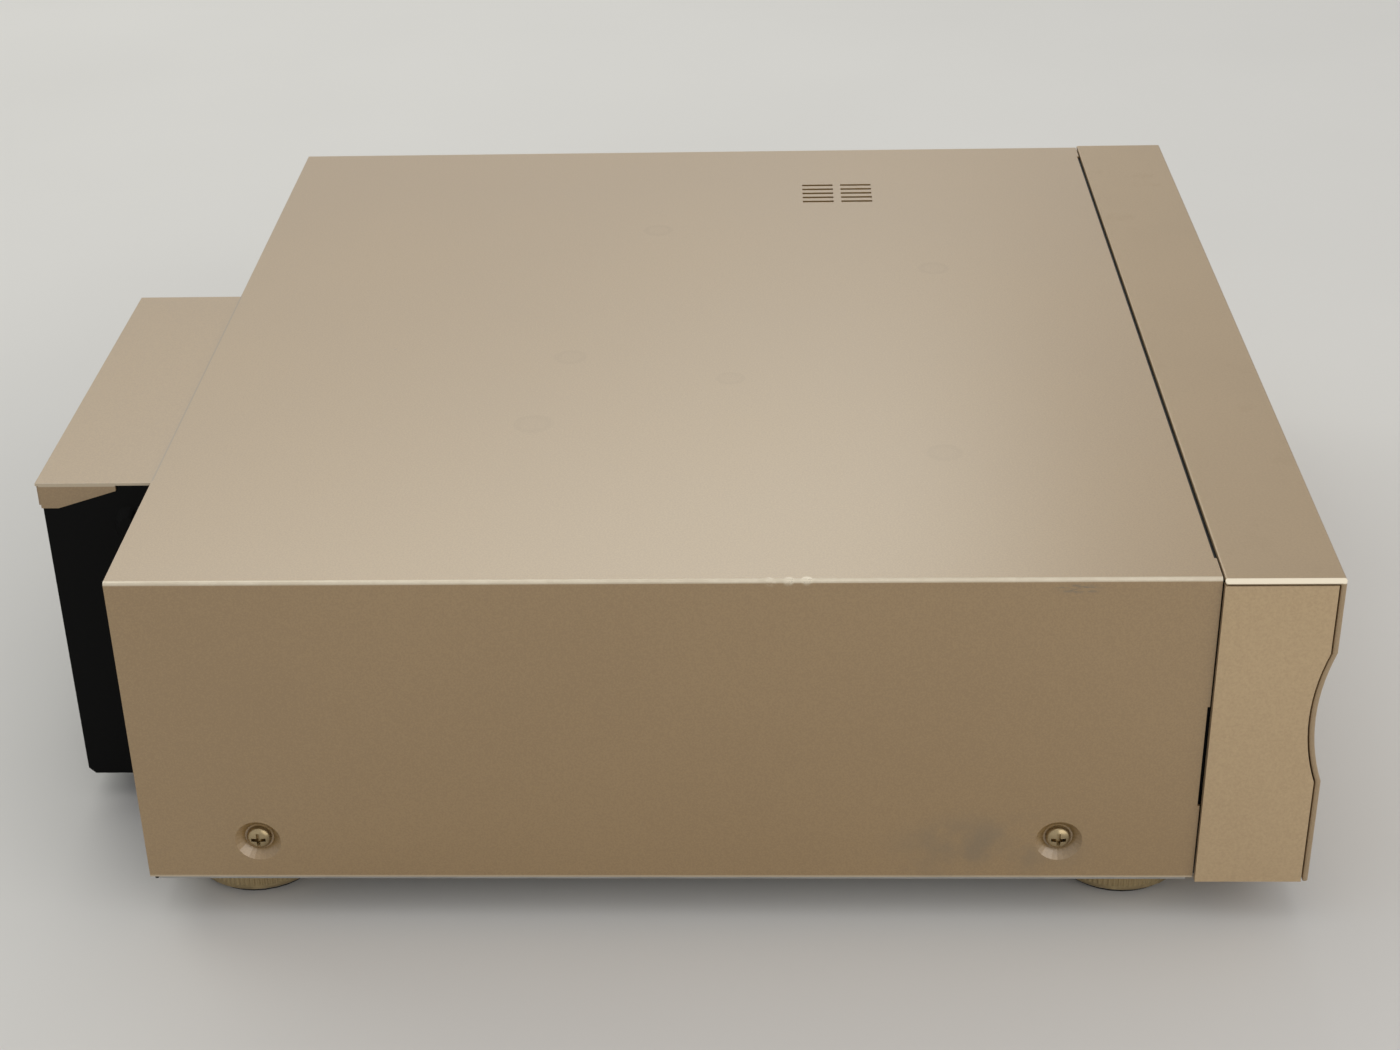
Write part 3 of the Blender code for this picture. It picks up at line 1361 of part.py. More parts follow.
# Pickup, its rails and its feed screw
PICKUP_TOP = DISC_Z - PICKUP_CLEAR
PICKUP_OUT_Y = SPINDLE_Y + PICKUP_OUT
PICKUP_EAR_HEIGHT = 0.008
PICKUP_EAR = RAIL_X - GAP
NUT_HALF = 0.0045
NUT_LENGTH = 0.012
NUT_DROP = 0.0065


def make_guide_rails():
    for side, word in ((-1, "left"), (1, "right")):
        x = MECH_X + side * RAIL_X
        for z, start, level in (
            (LOWER_RAIL_Z, SPINDLE_Y + RAIL_START, "lower"),
            (UPPER_RAIL_Z, UPPER_STAY_Y, "upper"),
        ):
            name = f"guide_rail_{level}_{word}"
            rod(name, RAIL_RADIUS, (x, start, z), RAIL_END_Y, "Y", BRIGHT_STEEL, sides=20)


def make_pickup():
    front, back = PICKUP_OUT_Y - PICKUP_LENGTH / 2, PICKUP_OUT_Y + PICKUP_LENGTH / 2
    bottom = PICKUP_TOP - PICKUP_HEIGHT
    centre = (MECH_X, PICKUP_OUT_Y, LOWER_RAIL_Z)
    sled = block(
        "pickup_sled",
        (MECH_X - PICKUP_HALF, front, bottom),
        (MECH_X + PICKUP_HALF, back, PICKUP_TOP),
        IRON,
        at=centre,
    )
    ears = block(
        "pickup_ears",
        (MECH_X - PICKUP_EAR, front, LOWER_RAIL_Z - PICKUP_EAR_HEIGHT / 2),
        (MECH_X + PICKUP_EAR, back, LOWER_RAIL_Z + PICKUP_EAR_HEIGHT / 2),
    )
    nut = block(
        "feed_nut",
        (MECH_X - FEED_SCREW_X - NUT_HALF, PICKUP_OUT_Y - NUT_LENGTH / 2, bottom - NUT_DROP),
        (MECH_X - FEED_SCREW_X + NUT_HALF, PICKUP_OUT_Y + NUT_LENGTH / 2, bottom + NUT_DROP),
    )
    join(sled, ears, nut)
    for side, word in ((-1, "left"), (1, "right")):
        start = (MECH_X + side * RAIL_X, front - OVERRUN, LOWER_RAIL_Z)
        cut(sled, rod("sled_bearing_" + word, RAIL_RADIUS + GAP, start, back + OVERRUN, "Y", sides=20))
    start = (MECH_X - FEED_SCREW_X, front - OVERRUN, FEED_SCREW_Z)
    cut(sled, rod("nut_bore", FEED_SCREW_RADIUS + GAP, start, back + OVERRUN, "Y", sides=16))
    lens_y = PICKUP_OUT_Y - LENS_AHEAD
    floor = PICKUP_TOP - LENS_WELL
    start = (MECH_X, lens_y, floor)
    cut(sled, rod("lens_well", LENS_RADIUS + LENS_WELL_GAP, start, PICKUP_TOP + OVERRUN, "Z", sides=24))
    start = (MECH_X, lens_y, floor + LENS_FLOAT)
    rod("objective_lens", LENS_RADIUS, start, PICKUP_TOP + LENS_PROUD, "Z", LENS_GLASS, sides=24)


def make_feed():
    x = MECH_X - FEED_SCREW_X
    start = SPINDLE_Y + RAIL_START
    place_of_end = (x, start, FEED_SCREW_Z)
    rod("feed_screw", FEED_SCREW_RADIUS, place_of_end, FRAME_BASE_REAR, "Y", BRIGHT_STEEL, sides=16)
    body = rod(
        "feed_motor",
        FEED_MOTOR_RADIUS,
        (x, start - GAP - FEED_MOTOR_LENGTH, FEED_SCREW_Z),
        start - GAP,
        "Y",
        STEEL,
    )
    foot = block(
        "feed_motor_foot",
        (x - FEED_MOTOR_RADIUS / 2, start - FEED_MOTOR_LENGTH, DECK_TOP + GAP),
        (x + FEED_MOTOR_RADIUS / 2, start - GAP, FEED_SCREW_Z),
    )
    return join(body, foot)


# Turnover: a frame on the deck, and a cradle that swings the pickup from under the disc to over it
FRAME_BASE_FRONT = 0.121
FRAME_BASE_REAR = 0.139
FRAME_BASE_SHEET = 0.0018
FRAME_PLATE_REAR = 0.2050
FRAME_PLATE_TOP = 0.1280
BEARING_HALF = 0.0045
BEARING_LENGTH = 0.004
CRADLE_RAIL_HALF = 0.030
CRADLE_BAR_HALF = 0.010
CRADLE_BAR_LOW = 0.008
CRADLE_BAR_HIGH = 0.014
CRADLE_TAB = 0.005


def make_turn_frame():
    bottom = DECK_TOP + GAP
    outer = TURN_PLATE_X + TURN_PLATE
    base_top = bottom + FRAME_BASE_SHEET
    frame = block(
        "turn_frame",
        (MECH_X - outer, FRAME_BASE_FRONT, bottom),
        (MECH_X + outer, FRAME_BASE_REAR, base_top),
        STEEL,
    )
    for side, word in ((-1, "left"), (1, "right")):
        low, high = sorted((MECH_X + side * TURN_PLATE_X, MECH_X + side * outer))
        plate = block(
            "turn_plate_" + word,
            (low, FRAME_BASE_FRONT, bottom),
            (high, FRAME_PLATE_REAR, FRAME_PLATE_TOP),
        )
        join(frame, plate)
        low, high = sorted((MECH_X + side * STAY_INNER, MECH_X + side * (TURN_PLATE_X + TURN_PLATE / 2)))
        for z, level in ((LOWER_RAIL_Z, "lower"), (UPPER_RAIL_Z, "upper")):
            stay = block(
                f"end_stay_{level}_{word}",
                (low, RAIL_END_Y - 2 * STAY_LENGTH, z - STAY_HALF_HEIGHT),
                (high, RAIL_END_Y - STAY_LENGTH, z + STAY_HALF_HEIGHT),
            )
            join(frame, stay)
    x = MECH_X - FEED_SCREW_X
    bearing = block(
        "screw_bearing",
        (x - BEARING_HALF, FRAME_BASE_REAR - BEARING_LENGTH - GAP, bottom),
        (x + BEARING_HALF, FRAME_BASE_REAR - GAP, FEED_SCREW_Z + BEARING_HALF),
    )
    join(frame, bearing)
    start = (x, FRAME_BASE_REAR - BEARING_LENGTH - OVERRUN, FEED_SCREW_Z)
    end = FRAME_BASE_REAR + OVERRUN
    cut(frame, rod("bearing_bore", FEED_SCREW_RADIUS + GAP, start, end, "Y", sides=16))
    start = (MECH_X - outer - OVERRUN, TURN_Y, DISC_Z)
    end = MECH_X + outer + OVERRUN
    cut(frame, rod("turn_bore", TURN_PIN_RADIUS + SHAFT_GAP, start, end, "X", sides=20))
    return frame


def make_cradle():
    axis = (MECH_X, TURN_Y, DISC_Z)
    low, high = MECH_X - TURN_DISC_X - TURN_DISC, MECH_X - TURN_DISC_X
    points = gear_outline(TURN_TEETH, -math.pi / 2, (TURN_Y, DISC_Z))
    cradle = outline("turn_cradle", points, low, high, "X", NATURAL_PLASTIC, at=axis)
    right = rod(
        "cradle_disc",
        TURN_RADIUS,
        (MECH_X + TURN_DISC_X, TURN_Y, DISC_Z),
        MECH_X + TURN_DISC_X + TURN_DISC,
        "X",
        sides=36,
    )
    reach = TURN_DISC_X + TURN_DISC / 2
    bar = block(
        "cradle_bar",
        (MECH_X - reach, TURN_Y - CRADLE_BAR_HALF, DISC_Z + CRADLE_BAR_LOW),
        (MECH_X + reach, TURN_Y + CRADLE_BAR_HALF, DISC_Z + CRADLE_BAR_HIGH),
    )
    join(cradle, right, bar)
    pin_end = TURN_PLATE_X + TURN_PLATE + GAP
    for side, word in ((-1, "left"), (1, "right")):
        start = (MECH_X + side * reach, TURN_Y, DISC_Z)
        pin = rod("cradle_pin_" + word, TURN_PIN_RADIUS, start, MECH_X + side * pin_end, "X", sides=16)
        x = MECH_X + side * RAIL_X
        start = (x, TURN_Y - CRADLE_RAIL_HALF, LOWER_RAIL_Z)
        rail = rod("cradle_rail_" + word, RAIL_RADIUS, start, TURN_Y + CRADLE_RAIL_HALF, "Y", sides=16)
        join(cradle, pin, rail)
        low, high = sorted((x, MECH_X + side * reach))
        for end, place_word in ((-1, "front"), (1, "rear")):
            y = TURN_Y + end * (CRADLE_RAIL_HALF - CRADLE_TAB)
            tab = block(
                f"cradle_tab_{place_word}_{word}",
                (low, y - CRADLE_TAB / 2, LOWER_RAIL_Z - RAIL_RADIUS / 2),
                (high, y + CRADLE_TAB / 2, LOWER_RAIL_Z + RAIL_RADIUS / 2),
            )
            join(cradle, tab)
    return cradle


BRACKET = 0.0015
BRACKET_HALF = 0.008
BRACKET_TOP_GAP = 0.005


def make_turn_drive():
    middle = MECH_X - TURN_DISC_X - TURN_DISC / 2
    centre = (middle, TURN_Y, TURN_MOTOR_Z)
    phase = math.pi / 2 + math.pi / TURN_PINION_TEETH
    points = gear_outline(TURN_PINION_TEETH, phase, (TURN_Y, TURN_MOTOR_Z))
    half = TURN_DISC / 2
    pinion = outline("turn_pinion", points, middle - half, middle + half, "X", NATURAL_PLASTIC, at=centre)
    start = (middle - TURN_DISC, TURN_Y, TURN_MOTOR_Z)
    cut(pinion, rod("turn_pinion_bore", SHAFT_RADIUS + SHAFT_GAP, start, middle + TURN_DISC, "X", sides=16))
    plate = MECH_X - TURN_PLATE_X - TURN_PLATE - GAP
    face = plate - BRACKET
    body = motor("turn_motor", face - MOTOR_LENGTH, face, TURN_Y, TURN_MOTOR_Z, MOTOR_RADIUS)
    bracket = block(
        "turn_bracket",
        (face - BRACKET / 2, TURN_Y - BRACKET_HALF, TURN_MOTOR_Z - BRACKET_HALF),
        (plate, TURN_Y + BRACKET_HALF, DISC_Z - TURN_PIN_RADIUS - BRACKET_TOP_GAP),
    )
    root = (face - OVERRUN, TURN_Y, TURN_MOTOR_Z)
    shaft = rod("turn_shaft", SHAFT_RADIUS, root, middle + half, "X", sides=12)
    return join(body, bracket, shaft)


def make_mechanism():
    make_deck()
    make_tray()
    make_tray_rails()
    make_tray_front()
    make_loading_drive()
    make_spindle()
    make_bridge()
    make_clamp()
    make_guide_rails()
    make_pickup()
    make_feed()
    make_turn_frame()
    make_cradle()
    make_turn_drive()


make_mechanism()


# Boards and power supply
BOARD_BOTTOM = PAN_TOP + BOARD_LIFT
STANDOFF_RADIUS = 0.003
STANDOFF_INSET = 0.008
POWER_BOARD_INSET = 0.0122
POWER_BOARD_WIDTH = 0.058
POWER_RIGHT = COVER_WIDTH / 2 - POWER_BOARD_INSET
POWER_LEFT = POWER_RIGHT - POWER_BOARD_WIDTH
MAIN_BOARD_INSET = 0.0362
BOARD_GAP = 0.036
MAIN_LEFT = MAIN_BOARD_INSET - COVER_WIDTH / 2
MAIN_RIGHT = POWER_LEFT - BOARD_GAP
MAIN_FRONT, MAIN_REAR = -0.148, 0.140
CHIP_SIDE = 0.026
CHIP_HEIGHT = 0.003
CHIP_PLACE_SHARES = [(0.23, 0.31), (0.48, 0.24), (0.77, 0.34), (0.3, 0.69), (0.7, 0.72)]  # of the board's width and length
SHIELD_INSET = 0.007
SHIELD_WIDTH = 0.050
SHIELD_RIGHT = MAIN_RIGHT - SHIELD_INSET
SHIELD_LEFT = SHIELD_RIGHT - SHIELD_WIDTH
SHIELD_FRONT, SHIELD_REAR = 0.080, 0.130
SHIELD_HEIGHT = 0.016
POWER_FRONT, POWER_REAR = -0.020, 0.150
CAPACITOR_RADIUS = 0.011
CAPACITOR_HEIGHT = 0.030
CAPACITOR_PLACE_SHARES = [(0.28, 0.15), (0.72, 0.15), (0.28, 0.32)]
HEATSINK_INSET = 0.006
HEATSINK_LEFT, HEATSINK_RIGHT = POWER_LEFT + HEATSINK_INSET, POWER_RIGHT - HEATSINK_INSET
HEATSINK_FRONT, HEATSINK_REAR = 0.060, 0.078
HEATSINK_HEIGHT = 0.038
HEATSINK_FINS = 5
HEATSINK_BASE = 0.003
HEATSINK_FIN_GAP = 0.0055
TRANSFORMER_Y = -0.071
TRANSFORMER_WIDTH = 0.042
TRANSFORMER_LENGTH = 0.066
TRANSFORMER_HEIGHT = 0.052
TRANSFORMER_FLANGE = 0.008
TRANSFORMER_FLANGE_SHEET = 0.0015
COIL_WIDTH = 0.054
COIL_LENGTH = 0.040
COIL_INSET = 0.008


def make_board(name, left, right, front, rear, look):
    top = BOARD_BOTTOM + BOARD
    board = block(name, (left, front, BOARD_BOTTOM), (right, rear, top), look)
    for x in (left + STANDOFF_INSET, right - STANDOFF_INSET):
        for y in (front + STANDOFF_INSET, rear - STANDOFF_INSET):
            word = f"{name}_standoff_{len(board.modifiers)}"
            start = (x, y, PAN_TOP + GAP)
            join(board, rod(word, STANDOFF_RADIUS, start, BOARD_BOTTOM + BOARD / 2, "Z", sides=12))
    return board, top


def make_main_board():
    board, top = make_board("main_board", MAIN_LEFT, MAIN_RIGHT, MAIN_FRONT, MAIN_REAR, BOARD_GREEN)
    half = CHIP_SIDE / 2
    for index, (across, along) in enumerate(CHIP_PLACE_SHARES):
        x = MAIN_LEFT + across * (MAIN_RIGHT - MAIN_LEFT)
        y = MAIN_FRONT + along * (MAIN_REAR - MAIN_FRONT)
        low = (x - half, y - half, top - BOARD / 2)
        join(board, block(f"chip_{index}", low, (x + half, y + half, top + CHIP_HEIGHT)))
    low = (SHIELD_LEFT, SHIELD_FRONT, top - BOARD / 2)
    shield = block("shield", low, (SHIELD_RIGHT, SHIELD_REAR, top + SHIELD_HEIGHT))
    return join(board, shield)


def make_power_board():
    board, top = make_board("power_board", POWER_LEFT, POWER_RIGHT, POWER_FRONT, POWER_REAR, BOARD_TAN)
    for index, (across, along) in enumerate(CAPACITOR_PLACE_SHARES):
        x = POWER_LEFT + across * (POWER_RIGHT - POWER_LEFT)
        y = POWER_FRONT + along * (POWER_REAR - POWER_FRONT)
        start = (x, y, top - BOARD / 2)
        end = top + CAPACITOR_HEIGHT
        join(board, rod(f"capacitor_{index}", CAPACITOR_RADIUS, start, end, "Z", sides=20))
    low = (HEATSINK_LEFT, HEATSINK_FRONT, top - BOARD / 2)
    sink = block("heatsink", low, (HEATSINK_RIGHT, HEATSINK_REAR, top + HEATSINK_HEIGHT))
    length = HEATSINK_RIGHT - HEATSINK_LEFT
    for index in range(HEATSINK_FINS):
        x = HEATSINK_LEFT + length * (index + 1) / (HEATSINK_FINS + 1)
        slot = block(
            f"fin_gap_{index}",
            (x - HEATSINK_FIN_GAP / 2, HEATSINK_FRONT - OVERRUN, top + HEATSINK_BASE),
            (
                x + HEATSINK_FIN_GAP / 2,
                HEATSINK_REAR - HEATSINK_BASE,
                top + HEATSINK_HEIGHT + OVERRUN,
            ),
        )
        cut(sink, slot)
    return join(board, sink)


def make_transformer():
    half, long = TRANSFORMER_WIDTH / 2, TRANSFORMER_LENGTH / 2
    bottom = PAN_TOP + GAP
    core = block(
        "power_transformer",
        (TRANSFORMER_X - half, TRANSFORMER_Y - long, bottom),
        (TRANSFORMER_X + half, TRANSFORMER_Y + long, bottom + TRANSFORMER_HEIGHT),
        IRON,
    )
    coil_top = bottom + TRANSFORMER_HEIGHT - COIL_INSET
    coil = block(
        "coil",
        (TRANSFORMER_X - COIL_WIDTH / 2, TRANSFORMER_Y - COIL_LENGTH / 2, bottom + COIL_INSET),
        (TRANSFORMER_X + COIL_WIDTH / 2, TRANSFORMER_Y + COIL_LENGTH / 2, coil_top),
    )
    flange = block(
        "flange",
        (TRANSFORMER_X - half + COIL_INSET, TRANSFORMER_Y - long - TRANSFORMER_FLANGE, bottom),
        (TRANSFORMER_X + half - COIL_INSET, TRANSFORMER_Y + long + TRANSFORMER_FLANGE,
         bottom + TRANSFORMER_FLANGE_SHEET),
    )
    return join(core, coil, flange)


# Board behind the front panel, and the buttons
PANEL_BOARD_Y = -0.2130
PANEL_BOARD_LEFT_INSET = 0.082
PANEL_BOARD_RIGHT_INSET = 0.020
PANEL_BOARD_LEFT = PANEL_BOARD_LEFT_INSET - WIDTH / 2
PANEL_BOARD_RIGHT = WIDTH / 2 - PANEL_BOARD_RIGHT_INSET
PANEL_BOARD_BOTTOM, PANEL_BOARD_TOP = 0.024, 0.0835
PANEL_STANDOFF_Z = (0.030, 0.053)
PANEL_STANDOFF_INSET = 0.012
TUBE_DEPTH = 0.006
TUBE_MARGIN = 0.004
POWER_WIDTH = 0.016
POWER_HEIGHT = 0.009
OPEN_WIDTH = 0.018
OPEN_HEIGHT = 0.007
EXTRA = PLAY_WIDTH - KEY_WIDTH
BUTTONS = [
    ("power_button", POWER_X, POWER_Z, POWER_WIDTH, POWER_HEIGHT, -BUTTON_REST),
    ("open_close_button", OPEN_X, OPEN_Z, OPEN_WIDTH, OPEN_HEIGHT, -BUTTON_REST),
    ("play_button", KEY_ROW_X + EXTRA / 2, KEY_UPPER_Z, PLAY_WIDTH, KEY_HEIGHT, KEY_PROUD),
    ("pause_button", KEY_ROW_X + EXTRA + KEY_PITCH, KEY_UPPER_Z, KEY_WIDTH, KEY_HEIGHT, KEY_PROUD),
    ("stop_button", KEY_ROW_X + EXTRA + 2 * KEY_PITCH, KEY_UPPER_Z, KEY_WIDTH, KEY_HEIGHT, KEY_PROUD),
    ("skip_back_button", KEY_ROW_X, KEY_LOWER_Z, KEY_WIDTH, KEY_HEIGHT, KEY_PROUD),
    ("skip_forward_button", KEY_ROW_X + KEY_PITCH, KEY_LOWER_Z, KEY_WIDTH, KEY_HEIGHT, KEY_PROUD),
    ("side_button", KEY_ROW_X + 2 * KEY_PITCH, KEY_LOWER_Z, KEY_WIDTH, KEY_HEIGHT, KEY_PROUD),
]


def face_y(z):
    """How far back the front's face lies at a height."""
    reach = abs(z - RECESS_Z)
    if reach >= RECESS_HALF:
        return FRONT_Y
    return FRONT_Y + RECESS_DEPTH - RECESS_RADIUS + math.sqrt(RECESS_RADIUS**2 - reach**2)


def make_panel_board():
    board = block(
        "display_board",
        (PANEL_BOARD_LEFT, PANEL_BOARD_Y, PANEL_BOARD_BOTTOM),
        (PANEL_BOARD_RIGHT, PANEL_BOARD_Y + BOARD, PANEL_BOARD_TOP),
        BOARD_TAN,
    )
    tube = block(
        "display_tube",
        (WINDOW_LEFT + TUBE_MARGIN, PANEL_BOARD_Y - TUBE_DEPTH, WINDOW_BOTTOM),
        (WINDOW_RIGHT - TUBE_MARGIN, PANEL_BOARD_Y + BOARD / 2, WINDOW_TOP),
    )
    join(board, tube)
    for x in (PANEL_BOARD_LEFT + PANEL_STANDOFF_INSET, PANEL_BOARD_RIGHT - PANEL_STANDOFF_INSET):
        for z in PANEL_STANDOFF_Z:
            start = (x, FRONT_Y + FRONT_PLATE + GAP, z)
            word = f"panel_standoff_{len(board.modifiers)}"
            join(board, rod(word, STANDOFF_RADIUS, start, PANEL_BOARD_Y + BOARD / 2, "Y", sides=12))
    return board


def make_buttons():
    panel = bpy.data.objects["front_panel"]
    for name, x, z, width, height, proud in BUTTONS:
        front = face_y(z) - proud
        seat = max(face_y(z - height / 2 - BUTTON_LIP), face_y(z + height / 2 + BUTTON_LIP))
        seat = max(seat, face_y(z)) + FRONT_PLATE + GAP
        wide, tall = width / 2, height / 2
        button = block(name, (x - wide, front, z - tall), (x + wide, seat + BUTTON_FLANGE / 2, z + tall),
                       CHAMPAGNE_FRONT)
        round_edges(button, BUTTON_GAP)
        flange = block(
            name + "_flange",
            (x - wide - BUTTON_LIP, seat, z - tall - BUTTON_LIP),
            (x + wide + BUTTON_LIP, seat + BUTTON_FLANGE, z + tall + BUTTON_LIP),
        )
        join(button, flange)
        gap = BUTTON_GAP
        hole = block(
            name + "_hole",
            (x - wide - gap, FRONT_Y - OVERRUN, z - tall - gap),
            (x + wide + gap, FRONT_Y + FRONT_LIP_DEPTH, z + tall + gap),
        )
        cut(panel, hole)


def make_electronics():
    make_main_board()
    make_power_board()
    make_transformer()
    make_panel_board()
    make_buttons()


make_electronics()
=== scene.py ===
import json
import math

import bmesh
import bpy
from mathutils import Matrix, Vector


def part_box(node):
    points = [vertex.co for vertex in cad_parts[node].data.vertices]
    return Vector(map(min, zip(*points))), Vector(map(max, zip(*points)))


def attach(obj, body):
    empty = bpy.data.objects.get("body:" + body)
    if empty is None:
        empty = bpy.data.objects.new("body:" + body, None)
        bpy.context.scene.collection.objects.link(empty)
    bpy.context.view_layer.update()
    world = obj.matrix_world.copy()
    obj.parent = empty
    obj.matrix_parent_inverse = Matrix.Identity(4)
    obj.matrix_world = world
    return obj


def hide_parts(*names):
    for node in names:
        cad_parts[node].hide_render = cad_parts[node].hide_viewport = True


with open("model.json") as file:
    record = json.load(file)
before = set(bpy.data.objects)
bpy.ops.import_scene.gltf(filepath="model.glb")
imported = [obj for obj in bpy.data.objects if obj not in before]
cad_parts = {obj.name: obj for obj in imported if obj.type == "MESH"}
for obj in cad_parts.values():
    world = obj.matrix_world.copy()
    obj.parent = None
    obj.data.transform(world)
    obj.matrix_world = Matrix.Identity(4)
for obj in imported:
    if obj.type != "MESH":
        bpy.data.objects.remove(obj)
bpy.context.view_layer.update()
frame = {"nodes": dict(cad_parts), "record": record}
nodes = frame["nodes"]


def srgb(red, green, blue):
    # a colour as a picture gives it, 0 to 255, in the linear numbers of a shader
    def one(value):
        share = value / 255
        return share / 12.92 if share <= 0.04045 else ((share + 0.055) / 1.055) ** 2.4

    return (one(red), one(green), one(blue), 1.0)


# Shader maths written as plain expressions
class Wire:
    # a node's output that can be added, subtracted and scaled
    def __init__(self, kit, output):
        self.kit = kit
        self.output = output

    def maths(self, operation, *others):
        return self.kit.node("ShaderNodeMath", {"operation": operation}, [self, *others])

    def __add__(self, other):
        return self.maths("ADD", other)

    def __radd__(self, other):
        return self.maths("ADD", other)

    def __sub__(self, other):
        return self.maths("SUBTRACT", other)

    def __mul__(self, other):
        return self.maths("MULTIPLY", other)

    def __rmul__(self, other):
        return self.maths("MULTIPLY", other)

    def __abs__(self):
        return self.maths("ABSOLUTE")


# sockets of a mix node that is set to colours: its share and its two colours, and its result
mixInputs = (0, 6, 7)
mixResult = 2


class Finish:
    # one material, and the nodes that go into it
    def __init__(self, name):
        self.material = bpy.data.materials.new(name)
        self.material.use_nodes = True
        self.tree = self.material.node_tree
        self.shader = self.tree.nodes["Principled BSDF"]

    def node(self, kind, settings=None, values=(), output=0):
        made = self.tree.nodes.new(kind)
        for name, value in (settings or {}).items():
            if name == "stops":
                ramp = made.color_ramp
                while len(ramp.elements) < len(value):
                    ramp.elements.new(0.5)
                for element, (place, color) in zip(ramp.elements, value):
                    element.position = place
                    element.color = color
            else:
                setattr(made, name, value)
        pairs = values.items() if isinstance(values, dict) else enumerate(values)
        for key, value in pairs:
            self.put(made.inputs[key], value)
        return Wire(self, made.outputs[output])

    def put(self, socket, value):
        if isinstance(value, Wire):
            self.tree.links.new(value.output, socket)
        else:
            socket.default_value = value

    def place(self):
        return self.node("ShaderNodeTexCoord", output="Object")

    def axis(self, place, name):
        return self.node("ShaderNodeSeparateXYZ", values=[place], output=name)

    def stretched(self, place, scale):
        return self.node("ShaderNodeVectorMath", {"operation": "MULTIPLY"}, [place, scale])

    def noise(self, place, scale, detail, roughness):
        values = {"Vector": place, "Scale": scale, "Detail": detail, "Roughness": roughness}
        return self.node("ShaderNodeTexNoise", values=values)

    def cells(self, place, scale):
        values = {"Vector": place, "Scale": scale}
        return self.node("ShaderNodeTexVoronoi", values=values, output="Distance")

    def between(self, value, low, high):
        # 0 at low and 1 at high, with a soft step; low over high turns it round
        values = {"Value": value, "From Min": low, "From Max": high}
        return self.node("ShaderNodeMapRange", {"interpolation_type": "SMOOTHSTEP"}, values)

    def patches(self, place, noise, step):
        # a noise cut into patches with soft edges
        return self.between(self.noise(place, *noise), *step)

    def mix(self, share, first, second):
        settings = {"data_type": "RGBA", "clamp_factor": True}
        values = dict(zip(mixInputs, (share, first, second)))
        return self.node("ShaderNodeMix", settings, values, output=mixResult)

    def nearTo(self, place, centre, radius, soft):
        # 1 within radius of a point, falling to 0 over the soft width
        settings = {"operation": "DISTANCE"}
        gap = self.node("ShaderNodeVectorMath", settings, [place, centre], output="Value")
        return self.between(gap, radius + soft, radius)

    def swing(self, value, amount, middle=0.5):
        # a texture's value about its middle
        return amount * (value - middle)

    def bump(self, height, distance, strength):
        values = {"Strength": strength, "Distance": distance, "Height": height}
        return self.node("ShaderNodeBump", values=values)

    def settle(self, **sockets):
        for name, value in sockets.items():
            words = "".join(" " + c if c.isupper() else c for c in name).title()
            self.put(self.shader.inputs[words.replace("Ior", "IOR")], value)
        return self.material


# Champagne paint of the cover: a golden body colour with fine metal flake under a thin sheen.
# In all looks, three numbers of a noise are its scale, detail and roughness, and two numbers of a
# soft step say where it starts and where it is full. Places are in metres.
coverLook = {
    "body": srgb(150, 121, 76),
    "shade": srgb(140, 111, 67),
    # the next colour, with the extra metal below, is a painted highlight along the bends and edges,
    # and also the colour of real chips in the paint
    "worn": srgb(216, 203, 178),
    # the next colour serves the real stains and marks, and also the painted shade in the rear
    # step's seam
    "smudgeAndShade": srgb(112, 96, 70),
    "metallic": 0.15,
    "highlightAndWearMetallic": 0.2,
    "roughness": 0.43,
    "coatRoughness": 0.30,
    "coatIor": 1.8,
    "swings": {"drift": 0.10, "flakes": 0.12, "worn": 0.10, "prints": 0.05},  # of the roughness
    "flakes": (1500.0, 2.0, 0.6),
    "flakeDepth": 0.00004,
    "flakeBump": 0.35,
    "drift": (9.0, 2.0, 0.5),
    "flakeShare": 0.8,
    "driftShare": 0.2,
    "bodyStep": (0.40, 0.62),
    "bendHeight": 0.1392,  # the two long bends start here
    "bendSoft": 0.0006,
    "bendSide": (0.2068, 0.2072),
    # shares of the painted highlight on the bends, the lower edge and the rear step's edge
    "bendHighlight": 0.78,
    "raggedHighlight": 0.22,
    "streaks": (170.0, 5.0, 0.75),
    "streakStretch": (1.0, 0.5, 1.0),
    "streakStep": (0.35, 0.70),
    "lowEdge": 0.0189,
    "lowEdgeSoft": 0.0004,
    "lowEdgeHighlight": 0.45,
    "stepEdgeX": ((-0.1342, -0.1347), (-0.1362, -0.1358)),  # the rear step's left edge
    "stepEdgeY": (0.1856, 0.1862),
    "stepEdgeZ": (0.1382, 0.1386),
    "stepEdgeHighlight": 0.8,
    "chip": 0.0012,
    # the dark line at this seam is painted shade
    "stepSeam": 0.1853,  # where the rear step's sheet meets the cover
    "stepSeamHalf": (0.0007, 0.0003),
    "stepSeamX": ((0.0355, 0.0350), (-0.1345, -0.1340)),
    "stepSeamZ": (0.1385, 0.1390),
    "stepSeamShare": 0.75,
    "patches": (60.0, 3.0, 0.6),
    "patchStep": (0.35, 0.65),
    "smearShare": 0.55,
    "scratches": (900.0, 3.0, 0.7),
    "scratchStretch": (1.0, 0.3, 1.6),
    "scratchStep": (0.46, 0.58),
    "scuffShare": 0.8,
    "specks": 32.0,
    "speckStep": (0.020, 0.012),
    "speckShare": 0.45,
}
topMarks = {
    "height": 0.1406,
    "soft": 0.0012,
    "hollow": 0.55,  # the paler middle, as a share
    "hollowSoft": 0.002,
    "strength": 0.10,
    "spots": [  # x, y, radius of the faint round marks left on the top
        (0.058, -0.110, 0.006),
        (-0.116, -0.103, 0.006),
        (-0.051, -0.024, 0.005),
        (-0.030, 0.040, 0.006),
        (0.105, 0.010, 0.006),
        (-0.090, 0.050, 0.007),
    ],
}
edgeChips = [(-0.2078, -0.0449, 0.1402), (-0.2078, -0.0512, 0.1405), (-0.2078, -0.0390, 0.1398)]
